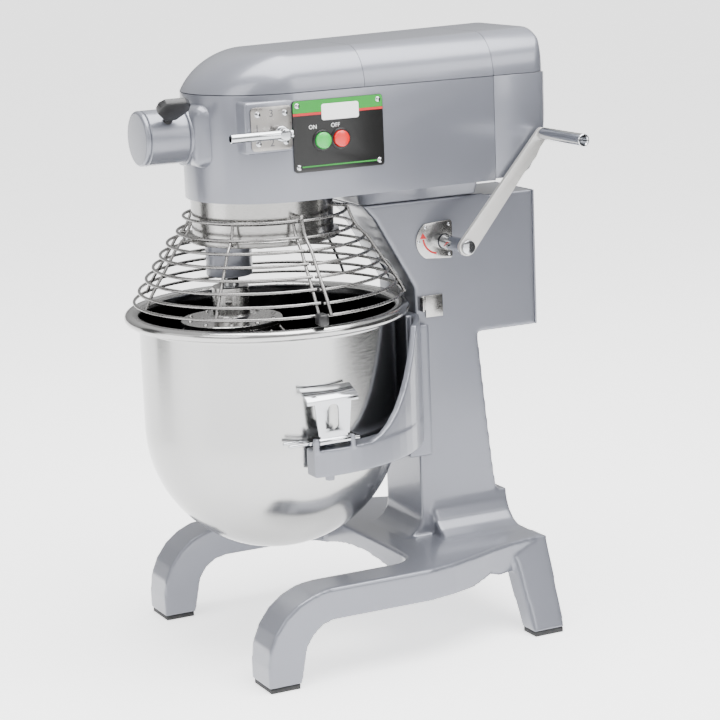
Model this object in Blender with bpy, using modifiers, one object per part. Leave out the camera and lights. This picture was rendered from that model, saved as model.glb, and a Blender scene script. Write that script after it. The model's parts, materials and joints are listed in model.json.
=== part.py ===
"""Planetary stand mixer with a 20-quart bowl: cast frame, gear head, lifting bowl yoke and wire guard.

The model is laid out with x = 0 as the plane of symmetry, y = 0 on the bowl's axis with the
front at -Y, and z = 0 on the bench. A root empty then moves it so that the middle of its
footprint is over the world's origin.
"""

import math

import bmesh
import bpy
from mathutils import Matrix, Vector

# ---- driving dimensions, in metres ----
GAP = 0.0003                    # clearance between pieces that touch
OFFSET = (-0.008, -0.09125, 0)  # from the layout's origin to the middle of the footprint

PAD_H = 0.006
RAIL_IN, RAIL_OUT = 0.139, 0.194
BASE_TOP, BASE_UNDER = 0.1165, 0.076
FRONT_Y, REAR_Y = -0.1046, 0.320

COLUMN_HALF = 0.0505
COLUMN_FRONT = 0.183
NECK_TOP = 0.5523
BOX_Y, BOX_LOW, BOX_TOP = 0.3605, 0.374, 0.550

HEAD_HALF = 0.1015
NOSE_Y = 0.008
HEAD_LOW, SEAM_Z, HEAD_TOP = 0.575, 0.705, 0.7549
COVER_FLAT = 0.0571
NOSE_SLOPE = math.radians(62)   # the front cover's slope at its seam
TOP_TILT, TILT_MIDDLE = 0.022, 0.14  # the covers' top rises a little to the rear
TAIL_LEAN = 0.0080
COVER_CUTS = (0.0981, 0.2762)
HEAD_REAR = 0.354
WALL = 0.005

SHAFT_Z = 0.6554
HUB_R, HUB_Y, HUB_CAP_Y, HUB_FRONT = 0.0337, -0.1040, -0.1530, -0.1597

RING_TEETH, PLANET_TEETH, PLANET_MODULE = 48, 14, 0.128 / 48
RING_R = RING_TEETH * PLANET_MODULE / 2
PLANET_R = PLANET_TEETH * PLANET_MODULE / 2
ORBIT = RING_R - PLANET_R
ORBIT_ANGLE = math.radians(-100)
SPINDLE = (ORBIT * math.cos(ORBIT_ANGLE), ORBIT * math.sin(ORBIT_ANGLE))
DRUM_R = 0.0881

WHEEL_TEETH, PINION_TEETH, TRAIN_MODULE = 30, 12, 0.0024
MOTOR_X = -0.031
MOTOR_Z = SHAFT_Z + math.sqrt(((WHEEL_TEETH + PINION_TEETH) * TRAIN_MODULE / 2) ** 2 - MOTOR_X ** 2)

LEVER_Y, LEVER_Z = 0.2269, 0.4969
LEVER_X, LEVER_T = 0.1062, 0.006
LEVER_LENGTH, LEVER_ANGLE = 0.173, math.radians(49.7)
GRIP_END = 0.210
LIFT_TEETH, LIFT_MODULE = 16, 0.005
LIFT_R = LIFT_TEETH * LIFT_MODULE / 2

BOWL_R, BOWL_T = 0.160, 0.0016
BOWL_MID_Z, BOWL_SPHERE = 0.287, 0.160
RIM_R, RIM_Z = 0.178, 0.434

YOKE_IN, YOKE_OUT = 0.166, 0.191
YOKE_LOW, YOKE_TOP = 0.2555, 0.2885
YOKE_FRONT = -0.030
SADDLE_TOP = 0.410
CLAMP_PIN = (0.1865, 0.2985)

WIRE_R = 0.002
GUARD_RINGS = ((0.098, 0.5515), (0.1065, 0.5323), (0.1196, 0.5182), (0.1291, 0.5035),
               (0.1386, 0.489), (0.1481, 0.475), (0.1576, 0.460), (0.1645, 0.4465))
REAR_GUARD_STEP = 0.0055        # how much wider the fixed half is, so the front half nests in it
SPOKE_Z = 0.5575                # the fixed half's spokes pass over the front half's top ring

GEAR_LEVER = (-0.0195, 0.6596)
BUTTONS = {"start": (0.0373, 0.6463), "stop": (0.0614, 0.6466)}
SCREW_Y, SCREW_ANGLE = -0.1295, math.radians(40)
THUMB_WING = ((0.0070, 0.0430, 0.0065), (0.0200, 0.0570, 0.0045), (0.0195, 0.0690, 0.0042), (0.0130, 0.0745, 0.0042))

FINISHES = {                    # colour, metallic, roughness
    "silver_paint": ((0.36, 0.37, 0.41), 0.55, 0.35),
    "stainless": ((0.62, 0.62, 0.61), 1.0, 0.22),
    "chrome": ((0.78, 0.78, 0.80), 1.0, 0.08),
    "steel": ((0.45, 0.45, 0.46), 1.0, 0.40),
    "cast_iron": ((0.16, 0.16, 0.17), 0.8, 0.60),
    "bronze": ((0.50, 0.34, 0.14), 1.0, 0.35),
    "rubber": ((0.015, 0.015, 0.015), 0.0, 0.70),
    "black_plastic": ((0.02, 0.02, 0.022), 0.0, 0.45),
    "green_plastic": ((0.02, 0.42, 0.10), 0.0, 0.30),
    "red_plastic": ((0.65, 0.03, 0.02), 0.0, 0.30),
}

PLANES = {                      # where a flat outline's own X, Y and Z point
    "XY": Matrix.Identity(4),
    "YZ": Matrix(((0, 0, 1, 0), (1, 0, 0, 0), (0, 1, 0, 0), (0, 0, 0, 1))),
    "XZ": Matrix(((1, 0, 0, 0), (0, 0, -1, 0), (0, 1, 0, 0), (0, 0, 0, 1))),
}


# ---- scene, joints and nodes ----
def clear_scene():
    for obj in list(bpy.data.objects):
        bpy.data.objects.remove(obj, do_unlink=True)


def new_collection(name):
    made = bpy.data.collections.new(name)
    bpy.context.scene.collection.children.link(made)
    return made


clear_scene()
PARTS = new_collection("commercial_stand_mixer")
SHAPES = new_collection("shaping")
JOINTS = {}


def joint(name, at, parent=None):
    """An empty on a joint's axis; the pieces that it carries are its children."""
    empty = bpy.data.objects.new(name + "_joint", None)
    PARTS.objects.link(empty)
    above = JOINTS[parent] if parent else None
    empty.parent = above[0] if above else None
    empty.location = Vector(at) - above[1] if above else Vector(OFFSET)
    JOINTS[name] = (empty, Vector(at) if above else Vector((0, 0, 0)))


def material(name):
    if name in bpy.data.materials:
        return bpy.data.materials[name]
    colour, metallic, roughness = FINISHES[name]
    made = bpy.data.materials.new(name)
    made.use_nodes = True
    shader = made.node_tree.nodes["Principled BSDF"]
    shader.inputs["Base Color"].default_value = (*colour, 1)
    shader.inputs["Metallic"].default_value = metallic
    shader.inputs["Roughness"].default_value = roughness
    return made


def node(name, obj, finish, body="root"):
    """Turns a shape into one of the mixer's named pieces, carried by a joint's empty."""
    SHAPES.objects.unlink(obj)
    PARTS.objects.link(obj)
    obj.name = name
    obj.hide_render = False
    obj.display_type = "TEXTURED"
    empty, at = JOINTS[body]
    obj.parent = empty
    obj.location = obj.location - at
    obj.data.materials.clear()
    obj.data.materials.append(material(finish))
    obj.data.shade_smooth()
    obj.data.set_sharp_from_angle(angle=math.radians(35))
    return obj


# ---- shapes ----
def shape(mesh, matrix=None):
    obj = bpy.data.objects.new("shape", mesh)
    SHAPES.objects.link(obj)
    obj.parent = JOINTS["root"][0]
    obj.matrix_local = matrix or Matrix.Identity(4)
    obj.hide_render = True
    obj.display_type = "WIRE"
    return obj


def from_bmesh(bm, matrix=None):
    mesh = bpy.data.meshes.new("shape")
    bm.to_mesh(mesh)
    bm.free()
    return shape(mesh, matrix)


def box(low, high):
    bm = bmesh.new()
    bmesh.ops.create_cube(bm, size=1)
    low, high = Vector(low), Vector(high)
    place = Matrix.Translation((low + high) / 2) @ Matrix.Diagonal((*(high - low), 1))
    bmesh.ops.transform(bm, matrix=place, verts=bm.verts)
    return from_bmesh(bm)


def rod(start, end, radius, end_radius=None, steps=20):
    start, end = Vector(start), Vector(end)
    bm = bmesh.new()
    bmesh.ops.create_cone(bm, cap_ends=True, segments=steps, radius1=radius,
                          radius2=radius if end_radius is None else end_radius,
                          depth=(end - start).length)
    turn = Vector((0, 0, 1)).rotation_difference(end - start).to_matrix().to_4x4()
    bmesh.ops.transform(bm, matrix=Matrix.Translation((start + end) / 2) @ turn, verts=bm.verts)
    return from_bmesh(bm)


def ball(centre, radius, steps=12):
    bm = bmesh.new()
    bmesh.ops.create_uvsphere(bm, u_segments=steps, v_segments=steps // 2, radius=radius,
                              matrix=Matrix.Translation(centre))
    return from_bmesh(bm)


def hull(points):
    """The convex solid round a few corner points."""
    bm = bmesh.new()
    for point in points:
        bm.verts.new(point)
    bmesh.ops.convex_hull(bm, input=bm.verts)
    bmesh.ops.recalc_face_normals(bm, faces=bm.faces)
    return from_bmesh(bm)


def turned(profile, at=(0, 0, 0), plane="XY", steps=32, closed=False):
    """A turned solid: (radius, height) points that run down the outer side."""
    bm = bmesh.new()
    verts = [bm.verts.new((radius, 0, height)) for radius, height in profile]
    for start, end in zip(verts, verts[1:]):
        bm.edges.new((start, end))
    if closed:
        bm.edges.new((verts[-1], verts[0]))
    obj = from_bmesh(bm, Matrix.Translation(at) @ PLANES[plane])
    screw = obj.modifiers.new("turn", "SCREW")
    screw.steps = screw.render_steps = steps
    screw.use_merge_vertices = True
    screw.merge_threshold = 0.00001
    return obj


def ring(inner, outer, low, high, at=(0, 0, 0), plane="XY", steps=32):
    return turned([(inner, low), (inner, high), (outer, high), (outer, low)], at, plane, steps, True)


def curve_mesh(curve):
    """A curve's solid as a mesh with its caps welded on."""
    guide = bpy.data.objects.new("guide", curve)
    SHAPES.objects.link(guide)
    bpy.context.view_layer.update()
    mesh = bpy.data.meshes.new_from_object(guide.evaluated_get(bpy.context.evaluated_depsgraph_get()))
    bpy.data.objects.remove(guide, do_unlink=True)
    bm = bmesh.new()
    bm.from_mesh(mesh)
    bmesh.ops.remove_doubles(bm, verts=bm.verts, dist=0.000001)
    bmesh.ops.recalc_face_normals(bm, faces=bm.faces)
    return bm


def add_spline(curve, points, cyclic):
    spline = curve.splines.new("POLY")
    spline.points.add(len(points) - 1)
    for point, place in zip(spline.points, points):
        point.co = (*place, 1) if len(place) == 3 else (*place, 0, 1)
    spline.use_cyclic_u = cyclic


def slab(outline, plane, low, high):
    """A flat outline in one plane, as thick as from low to high across it."""
    curve = bpy.data.curves.new("outline", "CURVE")
    curve.dimensions = "2D"
    curve.fill_mode = "BOTH"
    curve.extrude = (high - low) / 2
    add_spline(curve, outline, True)
    bm = curve_mesh(curve)
    middle = (low + high) / 2 * (-1 if plane == "XZ" else 1)
    bmesh.ops.transform(bm, matrix=PLANES[plane] @ Matrix.Translation((0, 0, middle)), verts=bm.verts)
    return from_bmesh(bm)


def wire(points, radius=WIRE_R, sides=4, cyclic=False):
    curve = bpy.data.curves.new("wire", "CURVE")
    curve.dimensions = "3D"
    curve.bevel_depth = radius
    curve.bevel_resolution = (sides - 4) // 2
    curve.use_fill_caps = True
    add_spline(curve, points, cyclic)
    return from_bmesh(curve_mesh(curve))


def toothed(teeth, rings, pitch_r, plane="XY", at=(0, 0, 0), phase=0.0, share=0.42):
    """A toothed wheel through rings of (height, tip radius, root radius); share is a tooth's part of the pitch."""
    slope = math.tan(math.radians(20))
    bm = bmesh.new()
    loops = []
    for height, tip, root in rings:
        scale = (tip + root) / (rings[0][1] + rings[0][2])
        middle = pitch_r * scale
        wide = share * math.pi / teeth + slope * abs(middle - root) / middle
        thin = share * math.pi / teeth - slope * abs(tip - middle) / middle
        loop = []
        for index in range(teeth):
            centre = phase + index * 2 * math.pi / teeth
            for turn, radius in ((-wide, root), (-thin, tip), (thin, tip), (wide, root)):
                angle = centre + turn
                loop.append(bm.verts.new((radius * math.cos(angle), radius * math.sin(angle), height)))
        loops.append(loop)
    count = 4 * teeth
    for lower, upper in zip(loops, loops[1:]):
        for index in range(count):
            following = (index + 1) % count
            bm.faces.new((lower[index], lower[following], upper[following], upper[index]))
    bm.faces.new(loops[0][::-1])
    bm.faces.new(loops[-1])
    return from_bmesh(bm, Matrix.Translation(at) @ PLANES[plane])


def spur(teeth, module, low, high, bore=None, **placing):
    radius = teeth * module / 2
    tip, root = radius + 0.7 * module, radius - 0.95 * module
    wheel = toothed(teeth, ((low, tip, root), (high, tip, root)), radius, **placing)
    if bore:
        cutter = turned([(0, high + 0.01), (bore, high + 0.01), (bore, low - 0.01), (0, low - 0.01)],
                        placing.get("at", (0, 0, 0)), placing.get("plane", "XY"), 16)
        cut(wheel, cutter)
    return wheel


def combine(obj, operation, others):
    for other in others:
        step = obj.modifiers.new(operation.lower(), "BOOLEAN")
        step.operation = operation
        step.solver = "EXACT"
        step.object = other
    return obj


def join(obj, *others):
    return combine(obj, "UNION", others)


def cut(obj, *others):
    return combine(obj, "DIFFERENCE", others)


def common(obj, *others):
    return combine(obj, "INTERSECT", others)


def soften(obj, width, segments=2, angle=40):
    bevel = obj.modifiers.new("edges", "BEVEL")
    bevel.width = width
    bevel.segments = segments
    bevel.limit_method = "ANGLE"
    bevel.angle_limit = math.radians(angle)
    return obj


def arc(centre, radius, start, end, count):
    """Points along a circle from one angle to another, in degrees."""
    angles = [math.radians(start + (end - start) * index / count) for index in range(count + 1)]
    return [(centre[0] + radius * math.cos(a), centre[1] + radius * math.sin(a)) for a in angles]


def mirrored(half):
    """A closed outline from its +X half, listed from front to rear."""
    return half + [(-x, y) for x, y in reversed(half)]


# ---- frame ----
def base_shape():
    side = [(FRONT_Y, PAD_H + GAP)]
    side += arc((-0.0190, 0.0305), 0.0860, 180, 90, 6)
    side += [(REAR_Y - 0.008, BASE_TOP), (REAR_Y, BASE_TOP - 0.008), (REAR_Y, 0.078), (0.240, 0.078)]
    side += [(0.223, 0.084), (0.190, BASE_UNDER)]
    side += arc((-0.0140, 0.0340), 0.0420, 90, 180, 4)
    side += [(-0.0617, PAD_H + GAP)]
    plan = [(RAIL_OUT, -0.120), (RAIL_OUT, -0.045), (0.188, -0.015), (0.188, 0.120), (0.180, 0.158),
            (0.164, 0.203), (0.152, 0.231), (0.1415, 0.262), (0.136, 0.298), (0.128, 0.321)]
    channel = mirrored([(RAIL_IN, -0.130)] + arc((RAIL_IN - 0.030, 0.092), 0.030, 0, 90, 4))
    arch_r = 0.4195
    arch = rod((0, -0.02, 0.093 - arch_r), (0, 0.36, 0.093 - arch_r), arch_r, steps=96)
    inner = box((-RAIL_IN + 0.002, -0.13, 0), (RAIL_IN - 0.002, 0.33, 0.1))
    base = common(slab(side, "YZ", -0.2, 0.2), slab(mirrored(plan), "XY", 0, 0.13))
    return cut(base, slab(channel, "XY", -0.01, 0.14), common(arch, inner))


def rear_leg(side):
    top = [(side * x, y, BASE_TOP - 0.002) for x in (0.098, 0.134) for y in (0.264, 0.318)]
    sole = [(side * x, y, PAD_H + GAP) for x in (0.150, 0.183) for y in (0.2687, 0.3130)]
    return hull(top + sole)


def column_shape():
    side = [(COLUMN_FRONT, 0.100), (COLUMN_FRONT, 0.441), (0.130, 0.534), (0.114, NECK_TOP),
            (0.285, NECK_TOP), (0.2855, BOX_TOP), (BOX_Y - 0.003, BOX_TOP), (BOX_Y - 0.003, BOX_LOW),
            (0.272, BOX_LOW), (0.2826, 0.260), (0.2905, 0.185)]
    side += [(0.2945, 0.160), (0.3015, 0.138), (0.3140, 0.120), (0.3140, 0.100)]
    return slab(side, "YZ", -COLUMN_HALF, COLUMN_HALF)


def column_fillets():
    flare = 0.045
    low = BASE_TOP - 0.012
    half = [(COLUMN_HALF + flare, low)]
    half += arc((COLUMN_HALF + flare, BASE_TOP + flare), flare, 270, 180, 5)
    sides = slab(mirrored(half), "XZ", 0.198, 0.308)
    toe = 0.028
    front = [(COLUMN_FRONT + 0.01, low), (COLUMN_FRONT + 0.01, BASE_TOP + toe)]
    front += arc((COLUMN_FRONT - toe, BASE_TOP + toe), toe, 0, -90, 4)
    front += [(COLUMN_FRONT - toe, low)]
    return sides, slab(front, "YZ", -COLUMN_HALF, COLUMN_HALF)


def make_frame():
    casting = join(base_shape(), rear_leg(1), rear_leg(-1), column_shape(), *column_fillets())
    cut(casting,
        box((-0.0405, 0.193, 0.130), (0.0405, 0.262, 0.600)),
        box((-0.0425, 0.260, 0.380), (0.0425, 0.400, 0.544)),
        box((-0.0135, 0.165, 0.300), (0.0135, 0.196, 0.600)),
        rod((-0.020, LEVER_Y, LEVER_Z), (0.020, LEVER_Y, LEVER_Z), LIFT_R + 0.0055),
        rod((0.030, LEVER_Y, LEVER_Z), (0.070, LEVER_Y, LEVER_Z), 0.0098, steps=16))
    node("frame_casting", casting, "silver_paint")

    for name, side in (("right", 1), ("left", -1)):
        corners = sorted((side * (RAIL_IN + 0.002), side * (RAIL_OUT - 0.002)))
        pad = box((corners[0], -0.1025, 0), (corners[1], -0.0640, PAD_H))
        node("front_foot_pad_" + name, pad, "rubber")
        corners = sorted((side * 0.151, side * 0.182))
        pad = box((corners[0], 0.2705, 0), (corners[1], 0.3110, PAD_H))
        node("rear_foot_pad_" + name, pad, "rubber")

    cover = soften(box((-COLUMN_HALF, BOX_Y - 0.003 + GAP, BOX_LOW), (COLUMN_HALF, BOX_Y, BOX_TOP)), 0.0008, 1)
    node("rear_box_cover", cover, "silver_paint")
    relay = soften(box((-0.024, 0.290, 0.395), (0.024, 0.340, 0.470)), 0.002, 1)
    node("control_relay", relay, "black_plastic")


# ---- head ----
def head_outline(inset, rear, front_steps=14):
    half = HEAD_HALF - inset
    nose = arc((0, NOSE_Y), half, -90, 0, front_steps // 2)
    return mirrored(nose + [(half, rear)])


def tail_outline(inset, front):
    half, corner = HEAD_HALF - inset, 0.014
    turn = arc((half - corner, HEAD_REAR - inset - corner), corner, 0, 90, 3)
    return mirrored([(half, front)] + turn)


def nose_depth(share):
    """How far the nose stands out at a share of the shoulder's rise: it leans back from the seam at once."""
    radius = (HEAD_TOP - SEAM_Z) / (1 - math.cos(NOSE_SLOPE))
    slope = math.acos(min(math.cos(NOSE_SLOPE) + share * (1 - math.cos(NOSE_SLOPE)), 1))
    return HEAD_HALF - radius * (math.sin(NOSE_SLOPE) - math.sin(slope))


def cover_path(front, rear, level):
    """The cover's outline at one level of its shoulder, from the right side round to the left."""
    inset = (HEAD_HALF - COVER_FLAT) * (1 - math.cos(level))
    half = HEAD_HALF - inset
    if front is None:
        depth = nose_depth(math.sin(level))
        nose = [(half * x, NOSE_Y + depth * y) for x, y in arc((0, 0), 1, 0, -180, 14)]
        return [(half, rear)] + nose + [(-half, rear)]
    if rear is None:
        corner = max(0.020 - inset, 0.003)
        end = HEAD_REAR - TAIL_LEAN * (1 - math.cos(level))
        turn = arc((half - corner, end - corner), corner, 0, 90, 3)
        return [(half, front)] + mirrored(turn) + [(-half, front)]
    return [(half, front), (half, rear)]


def cover_shell(front, rear, steps=5):
    """An open half shell whose shoulder is a quarter ellipse, with a nose or a tail end where it has one."""
    bm = bmesh.new()
    base = SEAM_Z + 2 * GAP
    levels = [math.radians(90 * index / steps) for index in range(steps + 1)]
    rows = []
    for level in levels:
        path = cover_path(front, rear, level)
        heights = [base + (HEAD_TOP - base + TOP_TILT * (y - TILT_MIDDLE)) * math.sin(level) for x, y in path]
        rows.append([bm.verts.new((x, y, z)) for (x, y), z in zip(path, heights)])
    if front is not None and rear is not None:
        left = [[bm.verts.new((-vert.co.x, vert.co.y, vert.co.z)) for vert in row] for row in reversed(rows)]
        rows += left
    else:
        bm.faces.new(rows[-1])
    for lower, upper in zip(rows, rows[1:]):
        for index in range(len(lower) - 1):
            bm.faces.new((lower[index], lower[index + 1], upper[index + 1], upper[index]))
    bmesh.ops.recalc_face_normals(bm, faces=bm.faces)
    top = max(bm.faces, key=lambda face: face.calc_center_median().z)
    if top.normal.z < 0:
        bmesh.ops.reverse_faces(bm, faces=bm.faces)
    shell = from_bmesh(bm)
    thick = shell.modifiers.new("wall", "SOLIDIFY")
    thick.thickness = 0.003
    thick.offset = -1
    if front is None:
        cut(shell, box((-0.150, -0.150, SEAM_Z - 0.010), (0.150, 0.150, base + 0.0001)))
    return shell


def make_head():
    front_rear = COVER_CUTS[1] - GAP
    body = slab(head_outline(0, front_rear), "XY", HEAD_LOW, SEAM_Z - GAP)
    haunch_top = [(side * HEAD_HALF, y, 0.609) for side in (1, -1) for y in (0.080, 0.262)]
    haunch_low = [(side * COLUMN_HALF, y, NECK_TOP + GAP) for side in (1, -1) for y in (0.112, 0.276)]
    join(body, hull(haunch_top + haunch_low),
         soften(box((-0.0450, HUB_Y + GAP, SHAFT_Z - 0.0385), (0.0450, -0.060, SHAFT_Z + 0.0385)), 0.012, 2),
         box((0.050, -0.061, 0.636), (HEAD_HALF + 0.0003, 0.010, 0.698)))
    cut(body,
        slab(head_outline(WALL, 0.300), "XY", HEAD_LOW + WALL, 0.720),
        box((-0.0405, 0.193, 0.540), (0.0405, 0.262, 0.600)),
        box((-0.0135, 0.165, 0.540), (0.0135, 0.196, 0.600)),
        rod((0, 0, 0.560), (0, 0, 0.600), 0.0305, steps=28),
        rod((0, -0.140, SHAFT_Z), (0, -0.060, SHAFT_Z), 0.0105, steps=16),
        rod((0.080, *GEAR_LEVER), (0.130, *GEAR_LEVER), 0.0066, steps=16))
    for y, z in BUTTONS.values():
        cut(body, rod((0.080, y, z), (0.130, y, z), 0.0106, steps=16))
    node("head_housing", body, "silver_paint")

    tail = slab(tail_outline(0, COVER_CUTS[1] + GAP), "XY", 0.577, SEAM_Z - GAP)
    profile = [(0.260, 0.577), (0.311, 0.577), (0.325, 0.586), (0.338, 0.6075), (0.350, 0.640),
               (0.356, 0.670), (0.356, 0.720), (0.260, 0.720)]
    hollow = [(0.260, 0.577 + WALL), (0.309, 0.577 + WALL), (0.321, 0.590), (0.333, 0.611),
              (0.345, 0.643), (0.350, 0.672), (0.350, 0.720), (0.260, 0.720)]
    common(tail, slab(profile, "YZ", -0.12, 0.12))
    inside = common(slab(tail_outline(WALL, 0.265), "XY", 0.577, 0.720), slab(hollow, "YZ", -0.12, 0.12))
    cut(tail, inside)
    node("motor_housing", tail, "silver_paint")

    node("front_cover", cover_shell(None, COVER_CUTS[0] - GAP), "silver_paint")
    node("top_cover", cover_shell(COVER_CUTS[0] + GAP, COVER_CUTS[1] - GAP), "silver_paint")
    node("motor_cover", cover_shell(COVER_CUTS[1] + GAP, None), "silver_paint")


def make_hub():
    body = [(0.0105, 0), (0.0105, -HUB_CAP_Y + HUB_Y), (HUB_R, -HUB_CAP_Y + HUB_Y), (HUB_R, 0)]
    hub = turned(body, (0, HUB_Y, SHAFT_Z), "XZ", 28, True)
    radial = Vector((math.cos(SCREW_ANGLE), 0, math.sin(SCREW_ANGLE)))
    middle = Vector((0, SCREW_Y, SHAFT_Z))
    cut(hub, rod(middle + radial * 0.005, middle + radial * 0.06, 0.0046, steps=12))
    node("attachment_hub", hub, "silver_paint")
    depth = HUB_CAP_Y - GAP - HUB_FRONT
    cap = [(0, depth), (HUB_R - 0.004, depth), (HUB_R - 0.001, depth - 0.001), (HUB_R, depth - 0.004),
           (HUB_R, 0), (0, 0)]
    node("hub_cap", turned(cap, (0, HUB_CAP_Y - GAP, SHAFT_Z), "XZ", 28), "silver_paint")

    stem = rod(middle + radial * 0.014, middle + radial * 0.0480, 0.0041, steps=10)
    side = radial.cross(Vector((0, 1, 0)))
    corners = [middle + Vector((0, along, 0)) + side * thick + radial * reach
               for along, reach, thick in THUMB_WING for along in (-along, along) for thick in (-thick, thick)]
    node("hub_thumb_screw", join(hull(corners), stem), "black_plastic", "hub_screw")


# ---- controls ----
def make_controls():
    face = HEAD_HALF + GAP
    panel = box((face, -0.0005, 0.6093), (face + 0.0022, 0.1198, 0.6956))
    for y, z in BUTTONS.values():
        join(panel, rod((face + 0.001, y, z), (face + 0.0042, y, z), 0.0128, steps=20))
    for y, z in BUTTONS.values():
        cut(panel, rod((0.09, y, z), (0.13, y, z), 0.0106, steps=20))
    node("control_panel", panel, "black_plastic")
    for (name, (y, z)), colour in zip(BUTTONS.items(), ("green_plastic", "red_plastic")):
        button = soften(rod((0.0968, y, z), (0.1105, y, z), 0.0100, steps=20), 0.0012, 1)
        node(name + "_button", button, colour, name + "_button")

    plate = box((face + GAP, -0.055, 0.640), (face + 0.0023, -0.002, 0.692))
    cut(plate, rod((0.09, *GEAR_LEVER), (0.13, *GEAR_LEVER), 0.0066, steps=16))
    node("gear_plate", plate, "stainless")
    y, z = GEAR_LEVER
    lever = rod((0.090, y, z), (0.1260, y, z), 0.0060, steps=14)
    join(lever, rod((0.1048, y, z), (0.1140, y, z), 0.0095, steps=20),
         rod((0.1205, y + 0.0105, z), (0.1205, y - 0.0700, z), 0.0052, steps=14))
    node("gear_lever", lever, "chrome", "gear_lever")

    label = [(0.186, 0.476), (0.205, 0.474), (0.238, 0.484), (0.240, 0.517), (0.226, 0.525), (0.186, 0.521)]
    plate = slab(label, "YZ", COLUMN_HALF + GAP, COLUMN_HALF + 0.0018)
    cut(plate, rod((0.04, LEVER_Y, LEVER_Z), (0.07, LEVER_Y, LEVER_Z), 0.0102, steps=16))
    node("lift_label_plate", plate, "stainless")
    bracket = box((COLUMN_HALF + GAP, 0.1965, 0.402), (COLUMN_HALF + 0.0025, 0.221, 0.430))
    join(bracket, box((COLUMN_HALF + GAP, 0.1865, 0.412), (COLUMN_HALF + 0.0022, 0.2000, 0.430)),
         box((COLUMN_HALF + GAP, 0.1865, 0.412), (COLUMN_HALF + 0.0140, 0.1885, 0.430)))
    node("guard_switch_bracket", bracket, "stainless")


# ---- drive train ----
def make_drive():
    """Motor, reduction wheel, bevel gears and the shafts that they turn."""
    tooth_line = math.atan2(MOTOR_Z - SHAFT_Z, MOTOR_X)
    motor = turned([(0, 0.120), (0.040, 0.120), (0.046, 0.112), (0.046, 0.008), (0.040, 0), (0, 0)],
                   (MOTOR_X, 0.325, MOTOR_Z), "XZ", 24)
    cut(motor, rod((MOTOR_X, 0.190, MOTOR_Z), (MOTOR_X, 0.240, MOTOR_Z), 0.0080, steps=14))
    node("motor", motor, "cast_iron")
    rotor = rod((MOTOR_X, 0.146, MOTOR_Z), (MOTOR_X, 0.235, MOTOR_Z), 0.0070, steps=14)
    pinion = spur(PINION_TEETH, TRAIN_MODULE, -0.162, -0.149, at=(MOTOR_X, 0, MOTOR_Z), plane="XZ",
                  phase=tooth_line + math.pi + math.pi / PINION_TEETH)
    node("motor_pinion_shaft", join(pinion, rotor), "steel", "motor_rotor")

    wheel = spur(WHEEL_TEETH, TRAIN_MODULE, -0.161, -0.150, bore=0.0083, at=(0, 0, SHAFT_Z), plane="XZ",
                 phase=tooth_line)
    node("reduction_gear", wheel, "steel", "countershaft")
    bevel = 0.0170
    rear_bevel = toothed(12, ((-0.036, bevel, 0.0135), (-0.024, 0.0113, 0.0090)), bevel,
                         plane="XZ", at=(0, 0, SHAFT_Z))
    shaft = rod((0, 0.024, SHAFT_Z), (0, 0.170, SHAFT_Z), 0.0080, steps=14)
    node("countershaft", join(rear_bevel, shaft), "steel", "countershaft")
    front_bevel = toothed(12, ((0.024, 0.0113, 0.0090), (0.036, bevel, 0.0135)), bevel * 2 / 3,
                          plane="XZ", at=(0, 0, SHAFT_Z))
    shaft = rod((0, -0.024, SHAFT_Z), (0, -0.138, SHAFT_Z), 0.0080, steps=14)
    node("hub_drive_shaft", join(front_bevel, shaft), "steel", "hub_drive")

    bulkhead = box((-0.090, 0.085, HEAD_LOW + WALL + GAP), (0.090, 0.091, 0.699))
    cut(bulkhead, rod((0, 0.07, SHAFT_Z), (0, 0.10, SHAFT_Z), 0.0155, steps=20))
    node("gearbox_bulkhead", bulkhead, "cast_iron")
    node("countershaft_bearing",
         ring(0.0083, 0.0152, -0.0950, -0.0830, (0, 0, SHAFT_Z), "XZ", 20), "bronze")
    node("main_bearing", ring(0.0096, 0.0300, 0.5765, 0.5900, steps=24), "steel")


# ---- planetary head ----
def make_planetary():
    x, y = SPINDLE
    node("collar_band", ring(0.0835, DRUM_R, 0.5477, HEAD_LOW - GAP, steps=28), "stainless")
    space = toothed(RING_TEETH, ((0.550, RING_R + 0.95 * PLANET_MODULE, RING_R - 0.7 * PLANET_MODULE),
                                 (0.580, RING_R + 0.95 * PLANET_MODULE, RING_R - 0.7 * PLANET_MODULE)),
                    RING_R, phase=ORBIT_ANGLE, share=0.58)
    blank = rod((0, 0, 0.5585), (0, 0, HEAD_LOW - GAP), 0.0760, steps=24)
    node("ring_gear", cut(blank, space), "steel")

    shaft = [(0, 0.640), (0.009, 0.640), (0.009, 0.5228), (0, 0.5228)]
    crown = toothed(24, ((0.6255, 0.0345, 0.0315), (0.6352, 0.0345, 0.0315), (0.6405, 0.0240, 0.0220)), 0.034)
    node("main_shaft", join(crown, turned(shaft, steps=20)), "steel", "planetary")
    carrier = turned([(0, 0.5450), (0.0790, 0.5450), (0.0800, 0.5440), (0.0800, 0.5245), (0.0790, 0.5235),
                      (0, 0.5235)], steps=36)
    join(carrier, rod((x, y, 0.4766), (x, y, 0.5300), 0.0288, steps=28))
    cut(carrier, rod((x, y, 0.46), (x, y, 0.56), 0.0113, steps=18),
        rod((0, 0, 0.51), (0, 0, 0.56), 0.0093, steps=20))
    node("planet_carrier", carrier, "silver_paint", "planetary")

    planet = spur(PLANET_TEETH, PLANET_MODULE, 0.5595, 0.5710, at=(x, y, 0), phase=ORBIT_ANGLE)
    join(planet, rod((x, y, 0.4300), (x, y, 0.5650), 0.0110, steps=18))
    node("spindle_shaft", planet, "steel", "spindle")


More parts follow.
